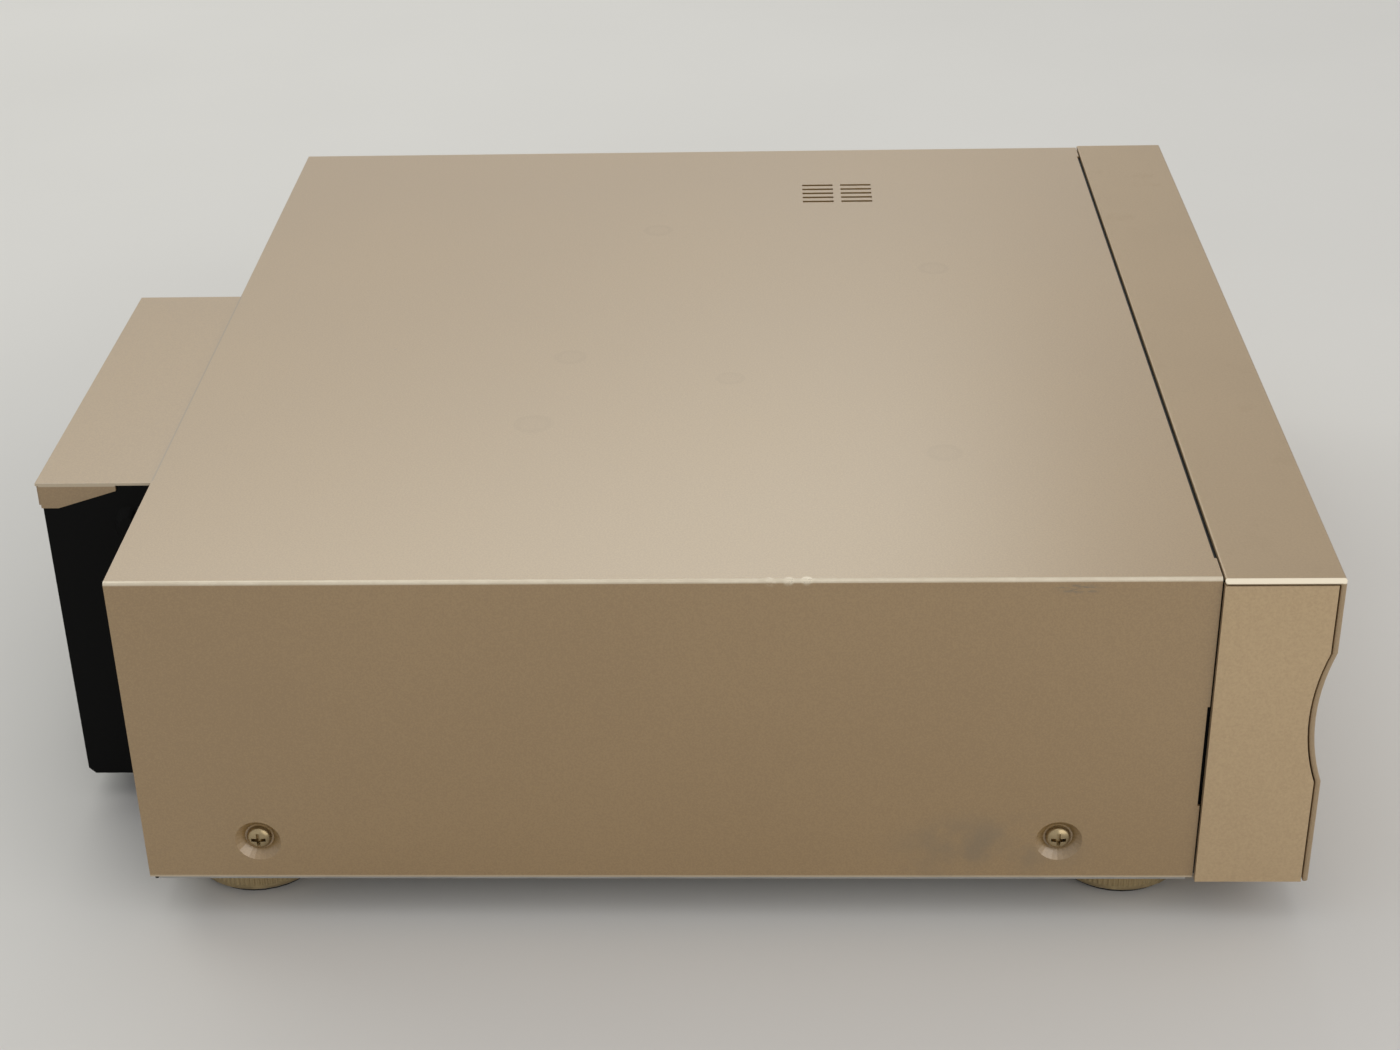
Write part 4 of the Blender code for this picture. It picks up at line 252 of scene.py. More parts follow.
# long stains are round spots, looked up in a space that is squeezed along Y
sideSmear = {"centre": (-0.2082, -0.1150, 0.0300), "squeeze": 0.45, "radius": 0.004, "soft": 0.016}
edgeScuff = {"centre": (-0.2082, -0.1414, 0.1368), "squeeze": 0.22, "radius": 0.001, "soft": 0.0012}


def longStain(f, place, stain):
    x, y, z = stain["centre"]
    squeeze = stain["squeeze"]
    squeezed = f.stretched(place, (1.0, squeeze, 1.0))
    return f.nearTo(squeezed, (x, y * squeeze, z), stain["radius"], stain["soft"])


def coverPaint():
    look = coverLook
    f = Finish("champagne_paint")
    place = f.place()
    x, y, z = (f.axis(place, name) for name in "XYZ")
    flakes = f.noise(place, *look["flakes"])
    drift = f.noise(place, *look["drift"])
    body = flakes * look["flakeShare"] + drift * look["driftShare"]
    color = f.mix(f.between(body, *look["bodyStep"]), look["shade"], look["body"])
    # painted highlight along the long bends, the lower edge and the rear step's left edge: paler,
    # more metallic and smoother there; the chips near the top's left edge are real wear in the same
    # colour
    high = f.between(z, look["bendHeight"], look["bendHeight"] + look["bendSoft"])
    out = f.between(abs(x), *look["bendSide"])
    streaks = f.noise(f.stretched(place, look["streakStretch"]), *look["streaks"])
    ragged = f.between(streaks, *look["streakStep"])
    lowEdge = f.between(z, look["lowEdge"], look["lowEdge"] - look["lowEdgeSoft"])
    stepRight, stepLeft = look["stepEdgeX"]
    stepEdge = f.between(x, *stepRight) * f.between(y, *look["stepEdgeY"])
    stepEdge = stepEdge * f.between(x, *stepLeft) * f.between(z, *look["stepEdgeZ"])
    worn = high * out * (look["bendHighlight"] + look["raggedHighlight"] * ragged)
    worn = worn + lowEdge * look["lowEdgeHighlight"] + stepEdge * look["stepEdgeHighlight"]
    for chip in edgeChips:
        worn = worn + f.nearTo(place, chip, look["chip"], look["chip"]) * ragged
    color = f.mix(worn, color, look["worn"])
    # faint rings on the top
    prints = 0.0
    for markX, markY, radius in topMarks["spots"]:
        centre = (markX, markY, topMarks["height"])
        inside = f.nearTo(place, centre, radius, topMarks["soft"])
        middle = f.nearTo(place, centre, radius * topMarks["hollow"], topMarks["hollowSoft"])
        prints = prints + (inside - topMarks["hollow"] * middle)
    color = f.mix(prints * topMarks["strength"], color, look["smudgeAndShade"])
    # a smudge low on the left side
    patchy = f.patches(place, look["patches"], look["patchStep"])
    smear = longStain(f, place, sideSmear) * patchy
    color = f.mix(smear * look["smearShare"], color, look["smudgeAndShade"])
    # painted shade: a dark line in the groove between the cover and the rear step
    seam = f.between(abs(y - look["stepSeam"]), *look["stepSeamHalf"])
    for ends in look["stepSeamX"]:
        seam = seam * f.between(x, *ends)
    seam = seam * f.between(z, *look["stepSeamZ"])
    color = f.mix(seam * look["stepSeamShare"], color, look["smudgeAndShade"])
    # a scuff under the top's left edge, and small specks all over
    scratches = f.noise(f.stretched(place, look["scratchStretch"]), *look["scratches"])
    scuff = longStain(f, place, edgeScuff) * f.between(scratches, *look["scratchStep"])
    color = f.mix(scuff * look["scuffShare"], color, look["smudgeAndShade"])
    specks = f.between(f.cells(place, look["specks"]), *look["speckStep"])
    color = f.mix(specks * look["speckShare"], color, look["smudgeAndShade"])
    swings = look["swings"]
    rough = look["roughness"] + f.swing(drift, swings["drift"]) + f.swing(flakes, swings["flakes"])
    rough = rough - swings["worn"] * worn + swings["prints"] * prints
    return f.settle(
        baseColor=color,
        metallic=look["metallic"] + look["highlightAndWearMetallic"] * worn,
        roughness=rough,
        coatWeight=1.0,
        coatRoughness=look["coatRoughness"],
        coatIor=look["coatIor"],
        normal=f.bump(flakes, look["flakeDepth"], look["flakeBump"]),
    )


# Front panel and cheeks: satin, bead-blasted and anodised, the cheeks a lighter copy painted for
# the light on the side, with a painted highlight along the top plate's end edges
frontLook = {
    # the cheeks' colours are a lighter copy of the face's: painted light on the side-facing cheeks
    "cheek": srgb(190, 165, 128),
    "cheekShade": srgb(177, 152, 117),
    "cheekCoat": 0.35,
    "face": srgb(162, 138, 105),
    "faceShade": srgb(152, 129, 97),
    "faceCoat": 0.55,
    "handled": srgb(120, 104, 80),
    # painted highlight along the top plate's end edges, and where it lies
    "edgeHighlight": srgb(232, 220, 196),
    "edgeHighlightX": (0.2085, 0.2088),
    "edgeHighlightZ": (0.1391, 0.1394),
    "metallic": 0.4,
    "roughness": 0.46,
    "coatRoughness": 0.38,
    "coatIor": 1.6,
    "grain": (1150.0, 3.0, 0.65),
    "grainDepth": 0.00005,
    "grainBump": 0.35,
    "cloud": (14.0, 3.0, 0.55),
    "toneStep": (0.30, 0.70),
    "prints": (38.0, 4.0, 0.7),
    "printStep": (0.58, 0.72),
    "printShare": 0.06,
    "swings": {"grain": 0.12, "prints": 0.05},
}


def blastedFront(name, first, second, coat):
    look = frontLook
    f = Finish(name)
    place = f.place()
    grain = f.noise(place, *look["grain"])
    cloud = f.noise(place, *look["cloud"])
    color = f.mix(f.between(grain * 0.75 + cloud * 0.25, *look["toneStep"]), second, first)
    handled = f.patches(place, look["prints"], look["printStep"])
    color = f.mix(handled * look["printShare"], color, look["handled"])
    # painted highlight along the top corners of the ends
    edgeHighlight = f.between(abs(f.axis(place, "X")), *look["edgeHighlightX"])
    edgeHighlight = edgeHighlight * f.between(f.axis(place, "Z"), *look["edgeHighlightZ"])
    color = f.mix(edgeHighlight, color, look["edgeHighlight"])
    swings = look["swings"]
    rough = look["roughness"] + f.swing(grain, swings["grain"]) + swings["prints"] * handled
    return f.settle(
        baseColor=color,
        metallic=look["metallic"],
        roughness=rough,
        coatWeight=coat,
        coatRoughness=look["coatRoughness"],
        coatIor=look["coatIor"],
        normal=f.bump(grain, look["grainDepth"], look["grainBump"]),
    )


sheetLook = {
    "paint": srgb(26, 26, 27),
    "rubbed": srgb(44, 43, 42),
    "metallic": 0.25,
    "roughness": 0.48,
    "grain": (1300.0, 2.0, 0.6),
    "grainDepth": 0.00004,
    "grainBump": 0.3,
    "grainSwing": 0.16,
    "rubs": (120.0, 4.0, 0.7),
    "rubStep": (0.62, 0.78),
}


def blackSheet():
    look = sheetLook
    f = Finish("black_steel")
    place = f.place()
    grain = f.noise(place, *look["grain"])
    rubbed = f.patches(place, look["rubs"], look["rubStep"])
    return f.settle(
        baseColor=f.mix(rubbed, look["paint"], look["rubbed"]),
        metallic=look["metallic"],
        roughness=look["roughness"] + f.swing(grain, look["grainSwing"]),
        normal=f.bump(grain, look["grainDepth"], look["grainBump"]),
    )


mouldedLook = {
    "black": srgb(5, 5, 5),
    "dust": srgb(34, 32, 30),
    "roughness": 0.48,
    "shine": 0.10,
    "pits": 1600.0,
    "grain": (900.0, 3.0, 0.6),
    "grainDepth": 0.00005,
    "grainBump": 0.4,
    "grainSwing": 0.20,
    "specks": (70.0, 5.0, 0.7),
    "speckStep": (0.60, 0.80),
    "dustShare": 0.12,
    "dustRoughness": 0.15,
}


def mouldedBlack():
    # spark-eroded grain of a moulding, with a little dust
    look = mouldedLook
    f = Finish("black_plastic")
    place = f.place()
    pits = f.cells(place, look["pits"])
    grain = f.noise(place, *look["grain"])
    dust = f.patches(place, look["specks"], look["speckStep"])
    rough = look["roughness"] + f.swing(grain, look["grainSwing"]) + look["dustRoughness"] * dust
    return f.settle(
        baseColor=f.mix(dust * look["dustShare"], look["black"], look["dust"]),
        roughness=rough,
        specularIorLevel=look["shine"],
        normal=f.bump(pits * 0.5 + grain * 0.5, look["grainDepth"], look["grainBump"]),
    )


steelLook = {
    "lineStretch": (40.0, 900.0, 900.0),
    "lines": (1.0, 2.0, 0.6),
    "lineDepth": 0.00003,
    "lineBump": 0.25,
    "bloom": (45.0, 4.0, 0.65),
    "bloomStep": (0.35, 0.70),
    "swings": {"bloom": 0.16, "lines": 0.10},
}


def platedSteel(name, tone, dark, roughness):
    # zinc or nickel over rolled sheet: drawn lines and a cloudy bloom
    look = steelLook
    f = Finish(name)
    place = f.place()
    lines = f.noise(f.stretched(place, look["lineStretch"]), *look["lines"])
    bloom = f.noise(place, *look["bloom"])
    swings = look["swings"]
    rough = roughness + f.swing(bloom, swings["bloom"]) + f.swing(lines, swings["lines"])
    return f.settle(
        baseColor=f.mix(f.between(bloom, *look["bloomStep"]), tone, dark),
        metallic=1.0,
        roughness=rough,
        normal=f.bump(lines, look["lineDepth"], look["lineBump"]),
    )


footMetalLook = {
    "gold": srgb(188, 168, 128),
    "goldShade": srgb(168, 148, 110),
    "dirt": srgb(84, 74, 58),
    "dirtHeight": (0.0055, 0.0025),
    "metallic": 0.75,
    "roughness": 0.34,
    "lineStretch": (60.0, 60.0, 2600.0),
    "lines": (1.0, 2.0, 0.6),
    "lineDepth": 0.00004,
    "lineBump": 0.25,
    "lineSwing": 0.14,
    "patches": (160.0, 3.0, 0.5),
    "patchStep": (0.35, 0.6),
    "dirtShare": 0.5,
    "dirtRoughness": 0.2,
}


def goldFoot():
    look = footMetalLook
    f = Finish("foot_metal")
    place = f.place()
    lines = f.noise(f.stretched(place, look["lineStretch"]), *look["lines"])
    low = f.between(f.axis(place, "Z"), *look["dirtHeight"])
    dirt = low * f.patches(place, look["patches"], look["patchStep"])
    color = f.mix(lines, look["gold"], look["goldShade"])
    rough = look["roughness"] + f.swing(lines, look["lineSwing"]) + look["dirtRoughness"] * dirt
    return f.settle(
        baseColor=f.mix(dirt * look["dirtShare"], color, look["dirt"]),
        metallic=look["metallic"],
        roughness=rough,
        normal=f.bump(lines, look["lineDepth"], look["lineBump"]),
    )


rubberLook = {
    "rubber": srgb(24, 24, 24),
    "chalk": srgb(58, 56, 52),
    "roughness": 0.80,
    "grain": (1100.0, 4.0, 0.7),
    "grainDepth": 0.00008,
    "grainBump": 0.5,
    "grainSwing": 0.16,
    "bloom": (90.0, 4.0, 0.5),
    "bloomStep": (0.50, 0.75),
    "bloomShare": 0.5,
}


def mattRubber():
    look = rubberLook
    f = Finish("rubber")
    place = f.place()
    grain = f.noise(place, *look["grain"])
    chalk = f.patches(place, look["bloom"], look["bloomStep"])
    return f.settle(
        baseColor=f.mix(chalk * look["bloomShare"], look["rubber"], look["chalk"]),
        roughness=look["roughness"] + f.swing(grain, look["grainSwing"]),
        normal=f.bump(grain, look["grainDepth"], look["grainBump"]),
    )


windowLook = {
    "pane": srgb(12, 12, 14),
    "field": srgb(22, 27, 28),
    "fieldX": ((-0.108, -0.104), (0.038, 0.034)),
    "fieldZ": ((0.0640, 0.0655), (0.0780, 0.0765)),
    "roughness": 0.08,
    "shine": 0.25,
    "coat": 0.2,
    "coatRoughness": 0.03,
    "specks": (420.0, 3.0, 0.6),
    "speckStep": (0.62, 0.78),
    "dustRoughness": 0.10,
}


def smokedWindow():
    # the dark pane over the display, with a faint lighter field behind it
    look = windowLook
    f = Finish("smoked_window")
    place = f.place()
    x, z = f.axis(place, "X"), f.axis(place, "Z")
    (left, right), (low, high) = look["fieldX"], look["fieldZ"]
    field = f.between(x, *left) * f.between(x, *right)
    field = field * f.between(z, *low) * f.between(z, *high)
    dust = f.patches(place, look["specks"], look["speckStep"])
    return f.settle(
        baseColor=f.mix(field, look["pane"], look["field"]),
        roughness=look["roughness"] + look["dustRoughness"] * dust,
        specularIorLevel=look["shine"],
        coatWeight=look["coat"],
        coatRoughness=look["coatRoughness"],
    )


trayLook = {
    "grey": srgb(56, 56, 58),
    "pale": srgb(66, 66, 68),
    "roughness": 0.5,
    "grain": 1400.0,
    "grainMiddle": 0.3,
    "grainSwing": 0.2,
    "grainDepth": 0.00005,
    "grainBump": 0.35,
    "cloud": (25.0, 3.0, 0.5),
}


def trayPlastic():
    look = trayLook
    f = Finish("tray_grey")
    place = f.place()
    grain = f.cells(place, look["grain"])
    cloud = f.noise(place, *look["cloud"])
    swing = f.swing(grain, look["grainSwing"], look["grainMiddle"])
    return f.settle(
        baseColor=f.mix(cloud, look["grey"], look["pale"]),
        roughness=look["roughness"] + swing,
        normal=f.bump(grain, look["grainDepth"], look["grainBump"]),
    )


nylonLook = {
    "white": srgb(226, 222, 208),
    "aged": srgb(208, 202, 184),
    "grease": srgb(170, 158, 128),
    "roughness": 0.42,
    "cloud": (70.0, 4.0, 0.6),
    "cloudSwing": 0.12,
    "cloudDepth": 0.00006,
    "cloudBump": 0.25,
    "smears": (150.0, 3.0, 0.6),
    "smearStep": (0.58, 0.72),
    "greaseShare": 0.35,
    "greasePolish": 0.15,
}


def whiteNylon():
    look = nylonLook
    f = Finish("white_plastic")
    place = f.place()
    cloud = f.noise(place, *look["cloud"])
    grease = f.patches(place, look["smears"], look["smearStep"])
    color = f.mix(cloud, look["white"], look["aged"])
    rough = look["roughness"] + f.swing(cloud, look["cloudSwing"]) - look["greasePolish"] * grease
    return f.settle(
        baseColor=f.mix(grease * look["greaseShare"], color, look["grease"]),
        roughness=rough,
        normal=f.bump(cloud, look["cloudDepth"], look["cloudBump"]),
    )


boardLook = {
    "parts": srgb(34, 34, 36),
    "partsHeight": (0.0232, 0.0236),  # above the board's top
    "partsShare": 0.55,
    "roughness": 0.42,
    "runs": (1.0, 1.0, 0.5),
    "runsAlongX": (25.0, 190.0, 25.0),
    "runsAlongY": (190.0, 25.0, 25.0),
    "stepAlongX": (0.52, 0.54),
    "stepAlongY": (0.54, 0.56),
    "trackDepth": 0.00008,
    "trackBump": 0.3,
    "weave": (1.0, 2.0, 0.5),
    "weaveStretch": (300.0, 300.0, 20.0),
    "weaveSwing": 0.16,
}


def circuitBoard(name, resist, track):
    # copper tracks show under the resist as slightly raised, paler runs; what stands on it is dark
    look = boardLook
    f = Finish(name)
    place = f.place()
    weave = f.noise(f.stretched(place, look["weaveStretch"]), *look["weave"])
    along, across = (f.stretched(place, look["runs" + way]) for way in ("AlongX", "AlongY"))
    runs = f.patches(along, look["runs"], look["stepAlongX"])
    cross = f.patches(across, look["runs"], look["stepAlongY"])
    tracks = runs.maths("MAXIMUM", cross)
    parts = f.between(f.axis(place, "Z"), *look["partsHeight"])
    return f.settle(
        baseColor=f.mix(parts * look["partsShare"], f.mix(tracks, resist, track), look["parts"]),
        roughness=look["roughness"] + f.swing(weave, look["weaveSwing"]),
        normal=f.bump(tracks, look["trackDepth"], look["trackBump"]),
    )


ironLook = {
    "iron": srgb(112, 108, 102),
    "ironShade": srgb(86, 82, 78),
    "metallic": 0.6,
    "roughness": 0.46,
    "leaves": (1.0, 2.0, 0.6),
    "leafStretch": (20.0, 1900.0, 20.0),
    "cloud": (130.0, 4.0, 0.65),
    "swings": {"cloud": 0.2, "leaves": 0.1},
    "shares": {"cloud": 0.4, "leaves": 0.6},  # of the relief
    "depth": 0.00008,
    "bump": 0.35,
}


def stackedIron():
    # thin leaves of iron, one beside the other along Y
    look = ironLook
    f = Finish("transformer_iron")
    place = f.place()
    leaves = f.noise(f.stretched(place, look["leafStretch"]), *look["leaves"])
    cloud = f.noise(place, *look["cloud"])
    swings, shares = look["swings"], look["shares"]
    rough = look["roughness"] + f.swing(cloud, swings["cloud"]) + f.swing(leaves, swings["leaves"])
    relief = leaves * shares["leaves"] + cloud * shares["cloud"]
    return f.settle(
        baseColor=f.mix(cloud, look["iron"], look["ironShade"]),
        metallic=look["metallic"],
        roughness=rough,
        normal=f.bump(relief, look["depth"], look["bump"]),
    )


lensLook = {
    "violet": srgb(70, 66, 120),
    "blue": srgb(40, 72, 110),
    "roughness": 0.05,
    "coatRoughness": 0.02,
    "tint": (160.0, 1.0, 0.5),
    "tintRoughness": 0.04,
}


def coatedLens():
    look = lensLook
    f = Finish("lens_glass")
    tint = f.noise(f.place(), *look["tint"])
    return f.settle(
        baseColor=f.mix(tint, look["violet"], look["blue"]),
        roughness=look["roughness"] + look["tintRoughness"] * tint,
        coatWeight=1.0,
        coatRoughness=look["coatRoughness"],
    )


tones = {
    # name: the two colours that are mixed
    "plated_steel": (srgb(186, 186, 184), srgb(168, 168, 167)),
    "bright_steel": (srgb(205, 203, 199), srgb(178, 176, 172)),
    "champagne_screw": (srgb(176, 158, 124), srgb(150, 134, 104)),
    "board_green": (srgb(24, 74, 44), srgb(46, 104, 62)),
    "board_tan": (srgb(150, 116, 66), srgb(176, 142, 88)),
}
steelRoughness = {"plated_steel": 0.36, "bright_steel": 0.22, "champagne_screw": 0.30}


def frontFinish(name, part):
    return blastedFront(name, *(frontLook[part + word] for word in ("", "Shade", "Coat")))


finishes = {
    "champagne_paint": coverPaint(),
    "champagne_front": frontFinish("champagne_front", "face"),
    "black_plastic": mouldedBlack(),
    "black_steel": blackSheet(),
    "foot_metal": goldFoot(),
    "rubber": mattRubber(),
    "smoked_window": smokedWindow(),
    "tray_grey": trayPlastic(),
    "white_plastic": whiteNylon(),
    "transformer_iron": stackedIron(),
    "lens_glass": coatedLens(),
}
for name, roughness in steelRoughness.items():
    finishes[name] = platedSteel(name, *tones[name], roughness)
for name in ("board_green", "board_tan"):
    finishes[name] = circuitBoard(name, *tones[name])
# a lighter copy of the front panel's finish, painted for the light on the side-facing cheeks
cheekFinishPaintedLighter = frontFinish("champagne_cheek_painted_lighter", "cheek")
for row in frame["record"]["subparts"]:
    piece = nodes[row["node"]]
    piece.data.materials.clear()
    piece.data.materials.append(finishes[row["material_slot"]])
for side in ("left", "right"):
    nodes["front_cheek_" + side].data.materials[0] = cheekFinishPaintedLighter
print("finishes:", len(finishes))


# Fine pieces: each is built about its own origin, then set on the body that carries it
smoothUnder = math.radians(35)
facings = {
    # where the piece's own Z looks
    "up": Matrix.Identity(4),
    "rear": Matrix.Rotation(math.radians(-90), 4, "X"),
    "front": Matrix.Rotation(math.radians(90), 4, "X"),
    "right": Matrix.Rotation(math.radians(90), 4, "Y"),
    "left": Matrix.Rotation(math.radians(-90), 4, "Y"),
}


def putPiece(name, build, finish, body, place, facing="up"):
    bmesh.ops.recalc_face_normals(build, faces=build.faces)
    mesh = bpy.data.meshes.new(name)
    build.to_mesh(mesh)
    build.free()
    mesh.shade_smooth()
    mesh.set_sharp_from_angle(angle=smoothUnder)
    mesh.materials.append(finishes[finish])
    piece = bpy.data.objects.new(name, mesh)
    bpy.context.scene.collection.objects.link(piece)
    piece.matrix_world = Matrix.Translation(place) @ facings[facing]
    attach(piece, body)
    return piece


def polar(radius, angle, height):
    return (radius * math.cos(angle), radius * math.sin(angle), height)


def turned(profile, steps, loop=False):
    # (radius, height) pairs turned about Z; a loop joins the last pair to the first
    build = bmesh.new()
    rows = []
    for radius, height in profile:
        if radius == 0:
            rows.append([build.verts.new((0, 0, height))] * steps)
            continue
        angles = [2 * math.pi * step / steps for step in range(steps)]
        rows.append([build.verts.new(polar(radius, angle, height)) for angle in angles])
    following = rows[1:] + (rows[:1] if loop else [])
    for first, second in zip(rows, following):
        for step in range(steps):
            after = (step + 1) % steps
            corners = dict.fromkeys((first[step], first[after], second[after], second[step]))
            build.faces.new(list(corners))
    return build


def joinRows(build, rows):
    # faces between each ring of corners and the next, and from the last to the first
    for first, second in zip(rows, rows[1:] + rows[:1]):
        for step in range(len(first)):
            after = (step + 1) % len(first)
            build.faces.new((first[step], first[after], second[after], second[step]))


def raised(outlines, depth, ease=0.0):
    # closed outlines in the XY plane raised along Z, drawn in by ease at the far end
    build = bmesh.new()
    for points in outlines:
        middle = Vector((sum(x for x, y in points), sum(y for x, y in points))) / len(points)
        low = [build.verts.new((x, y, 0)) for x, y in points]
        high = []
        for x, y in points:
            inward = (middle - Vector((x, y))).normalized() * ease
            high.append(build.verts.new((x + inward.x, y + inward.y, depth)))
        build.faces.new(low)
        build.faces.new(high)
        for i in range(len(points)):
            j = (i + 1) % len(points)
            build.faces.new((low[i], low[j], high[j], high[i]))
    return build


def roundedBox(half, tall, radius, steps=5):
    # outline of a rectangle with round corners
    points = []
    for turn, (x, y) in enumerate(((1, 1), (-1, 1), (-1, -1), (1, -1))):
        for step in range(steps + 1):
            angle = math.radians(90 * (turn + step / steps))
            along = x * (half - radius) + radius * math.cos(angle)
            points.append((along, y * (tall - radius) + radius * math.sin(angle)))
    return points


def carved(build, cutter):
    # the first shape less the second
    made = []
    for name, shape in (("kept", build), ("taken", cutter)):
        bmesh.ops.recalc_face_normals(shape, faces=shape.faces)
        mesh = bpy.data.meshes.new(name)
        shape.to_mesh(mesh)
        shape.free()
        made.append(bpy.data.objects.new(name, mesh))
        bpy.context.scene.collection.objects.link(made[-1])
    kept, taken = made
    cut = kept.modifiers.new("cut", "BOOLEAN")
    cut.object = taken
    cut.solver = "EXACT"
    bpy.context.view_layer.update()
    graph = bpy.context.evaluated_depsgraph_get()
    result = bmesh.new()
    result.from_mesh(kept.evaluated_get(graph).data)
    for obj in made:
        bpy.data.meshes.remove(obj.data)
    return result


# Cross-head screws: domed crown, tapered cross recess, threaded shank
screwLook = {
    "head": 0.0045,
    "rise": 0.0024,
    "shank": 0.0015,
    "length": 0.0055,
    "thread": 0.0003,
    "turns": 8,
}
crossLook = {"reach": 0.66, "slit": 0.15, "deep": 0.85, "taper": 0.60}  # shares of the head
crownLook = [  # shares of the head's radius and rise
    (0, 1.0),
    (0.28, 0.985),
    (0.58, 0.90),
    (0.82, 0.70),
    (0.95, 0.42),
    (1.0, 0.16),
    (0.985, 0),
]


def crossCutter(head, rise):
    reach, slit = head * crossLook["reach"], head * crossLook["slit"]
    rows = []
    build = bmesh.new()
    over, under = rise * 1.2, rise * (1 - crossLook["deep"])
    for share, height in ((1.0, over), (crossLook["taper"], under)):
        far, near = reach * share, slit * (0.5 + 0.5 * share)
        quarter = [(near, near), (near, far), (-near, far)]
        row = []
        for turn in range(4):
            spin = Matrix.Rotation(math.radians(90 * turn), 2)
            row += [build.verts.new((*(spin @ Vector(point)), height)) for point in quarter]
        rows.append(row)
    build.faces.new(rows[0])
    build.faces.new(rows[1])
    count = len(rows[0])
    for i in range(count):
        j = (i + 1) % count
        build.faces.new((rows[0][i], rows[0][j], rows[1][j], rows[1][i]))
    return build


def screwShape(head, rise, shank, length, thread, turns):
    profile = [(head * out, rise * up) for out, up in crownLook]
    pitch = length / (turns + 1)
    for turn in range(turns):
        profile.append((shank - thread, -pitch * turn - pitch * 0.5 * (turn > 0)))
        profile.append((shank, -pitch * (turn + 0.75)))
    profile += [(shank - thread, -length), (0, -length)]
    return carved(turned(profile, 40), crossCutter(head, rise))


sideScrews = {"front": (-0.1402, 0.0338), "rear": (0.1443, 0.0338)}  # y, z
for side, word in ((-1, "left"), (1, "right")):
    for end, (y, z) in sideScrews.items():
        node = f"cover_screw_{word}_{end}"
        low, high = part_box(node)
        crown = low.x if side < 0 else high.x
        seat = crown - side * screwLook["rise"]
        shape = screwShape(**screwLook)
        name = f"side_screw_{word}_{end}"
        spot = (seat, y, z)
        screw = putPiece(name, shape, "champagne_screw", "casing", spot, word)
        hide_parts(node)
rearScrewLook = {
    "head": 0.0031,
    "rise": 0.0015,
    "shank": 0.0012,
    "length": 0.0008,
    "thread": 0.0001,
    "turns": 1,
}
rearScrews = [  # x, z
    (-0.1990, 0.126),
    (-0.1990, 0.074),
    (-0.1990, 0.026),
    (-0.147, 0.026),
    (0.1990, 0.126),
    (0.1990, 0.084),
    (0.120, 0.130),
    (0.048, 0.026),
    (0.120, 0.026),
    (0.150, 0.046),
    (0.194, 0.046),
]
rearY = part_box("rear_panel")[1].y
for number, (x, z) in enumerate(rearScrews):
    shape = screwShape(**rearScrewLook)
    putPiece(f"rear_screw_{number}", shape, "black_steel", "casing", (x, rearY, z), "rear")
housingScrewLook = {"inset": 0.0085, "drop": 0.004}
inset = housingScrewLook["inset"]
housingLow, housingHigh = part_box("rear_housing")
leftX, rightX = housingLow.x + inset, housingHigh.x - inset
lowZ, highZ = housingLow.z + inset, housingHigh.z - inset - housingScrewLook["drop"]
housingScrews = [(x, z) for x in (leftX, rightX) for z in (lowZ, highZ)]
for number, (x, z) in enumerate(housingScrews):
    shape = screwShape(**rearScrewLook)
    spot = (x, housingHigh.y, z)
    putPiece(f"housing_screw_{number}", shape, "bright_steel", "casing", spot, "rear")
print("screws:", 2 * len(sideScrews) + len(rearScrews) + len(housingScrews))


# Feet: a ribbed band round each gold sleeve
footLook = {
    "ribs": 84,
    "low": 0.0042,
    "high": 0.0112,
    "ease": 0.0004,
    "inner": 0.0240,
    "valley": 0.02452,
    "crest": 0.02495,
}


def ribbedBand(look):
    build = bmesh.new()
    rows = [[], [], [], []]
    steps = look["ribs"] * 4  # two for the crest and two for the valley
    for step in range(steps):
        angle = 2 * math.pi * step / steps
        outer = look["crest"] if step % 4 in (0, 1) else look["valley"]
        profile = (
            (look["inner"], look["low"]),
            (outer, look["low"] + look["ease"]),
            (outer, look["high"] - look["ease"]),
            (look["inner"], look["high"]),
        )
        for row, (radius, height) in zip(rows, profile):
            row.append(build.verts.new(polar(radius, angle, height)))
    joinRows(build, rows)
    return build


for end in ("front", "rear"):
    for word in ("left", "right"):
        low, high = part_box(f"foot_{end}_{word}")
        centre = ((low.x + high.x) / 2, (low.y + high.y) / 2, 0)
        name = f"foot_ribs_{end}_{word}"
        putPiece(name, ribbedBand(footLook), "foot_metal", "casing", centre)
print("ribbed feet: 4")


# Front: raised symbols on the keys, and a standby lamp in a ring beside the power key
iconLook = {"size": 0.0021, "depth": 0.00025, "bar": 0.0007, "lift": 0.00005}


def arrow(x, way=1.0):
    size = iconLook["size"]
    back, tip, half = x - way * size * 0.5, x + way * size * 0.5, size * 0.62
    return [(back, -half), (tip, 0.0), (back, half)]


def block(x, y, half, tall):
    return [(x - half, y - tall), (x + half, y - tall), (x + half, y + tall), (x - half, y + tall)]


def symbols():
    size, bar = iconLook["size"], iconLook["bar"]
    thin = bar * 0.4
    tall = size * 0.6
    roof = [(-size * 0.8, -size * 0.1), (size * 0.8, -size * 0.1), (0, size * 0.75)]
    return {
        "play": [arrow(0)],
        "pause": [block(-bar, 0, bar * 0.5, tall), block(bar, 0, bar * 0.5, tall)],
        "stop": [block(0, 0, size * 0.5, size * 0.5)],
        "skip_back": [
            arrow(size * 0.65, -1),
            arrow(-size * 0.35, -1),
            block(-size * 1.05, 0, thin, tall),
        ],
        "skip_forward": [
            arrow(-size * 0.65),
            arrow(size * 0.35),
            block(size * 1.05, 0, thin, tall),
        ],
        "side": [block(0, -size * 0.4, size * 0.9, thin), block(0, size * 0.4, size * 0.9, thin)],
        "open_close": [roof, block(0, -size * 0.6, size * 0.8, thin)],
        "power": [block(0, 0, bar * 0.55, size * 0.7)],
    }


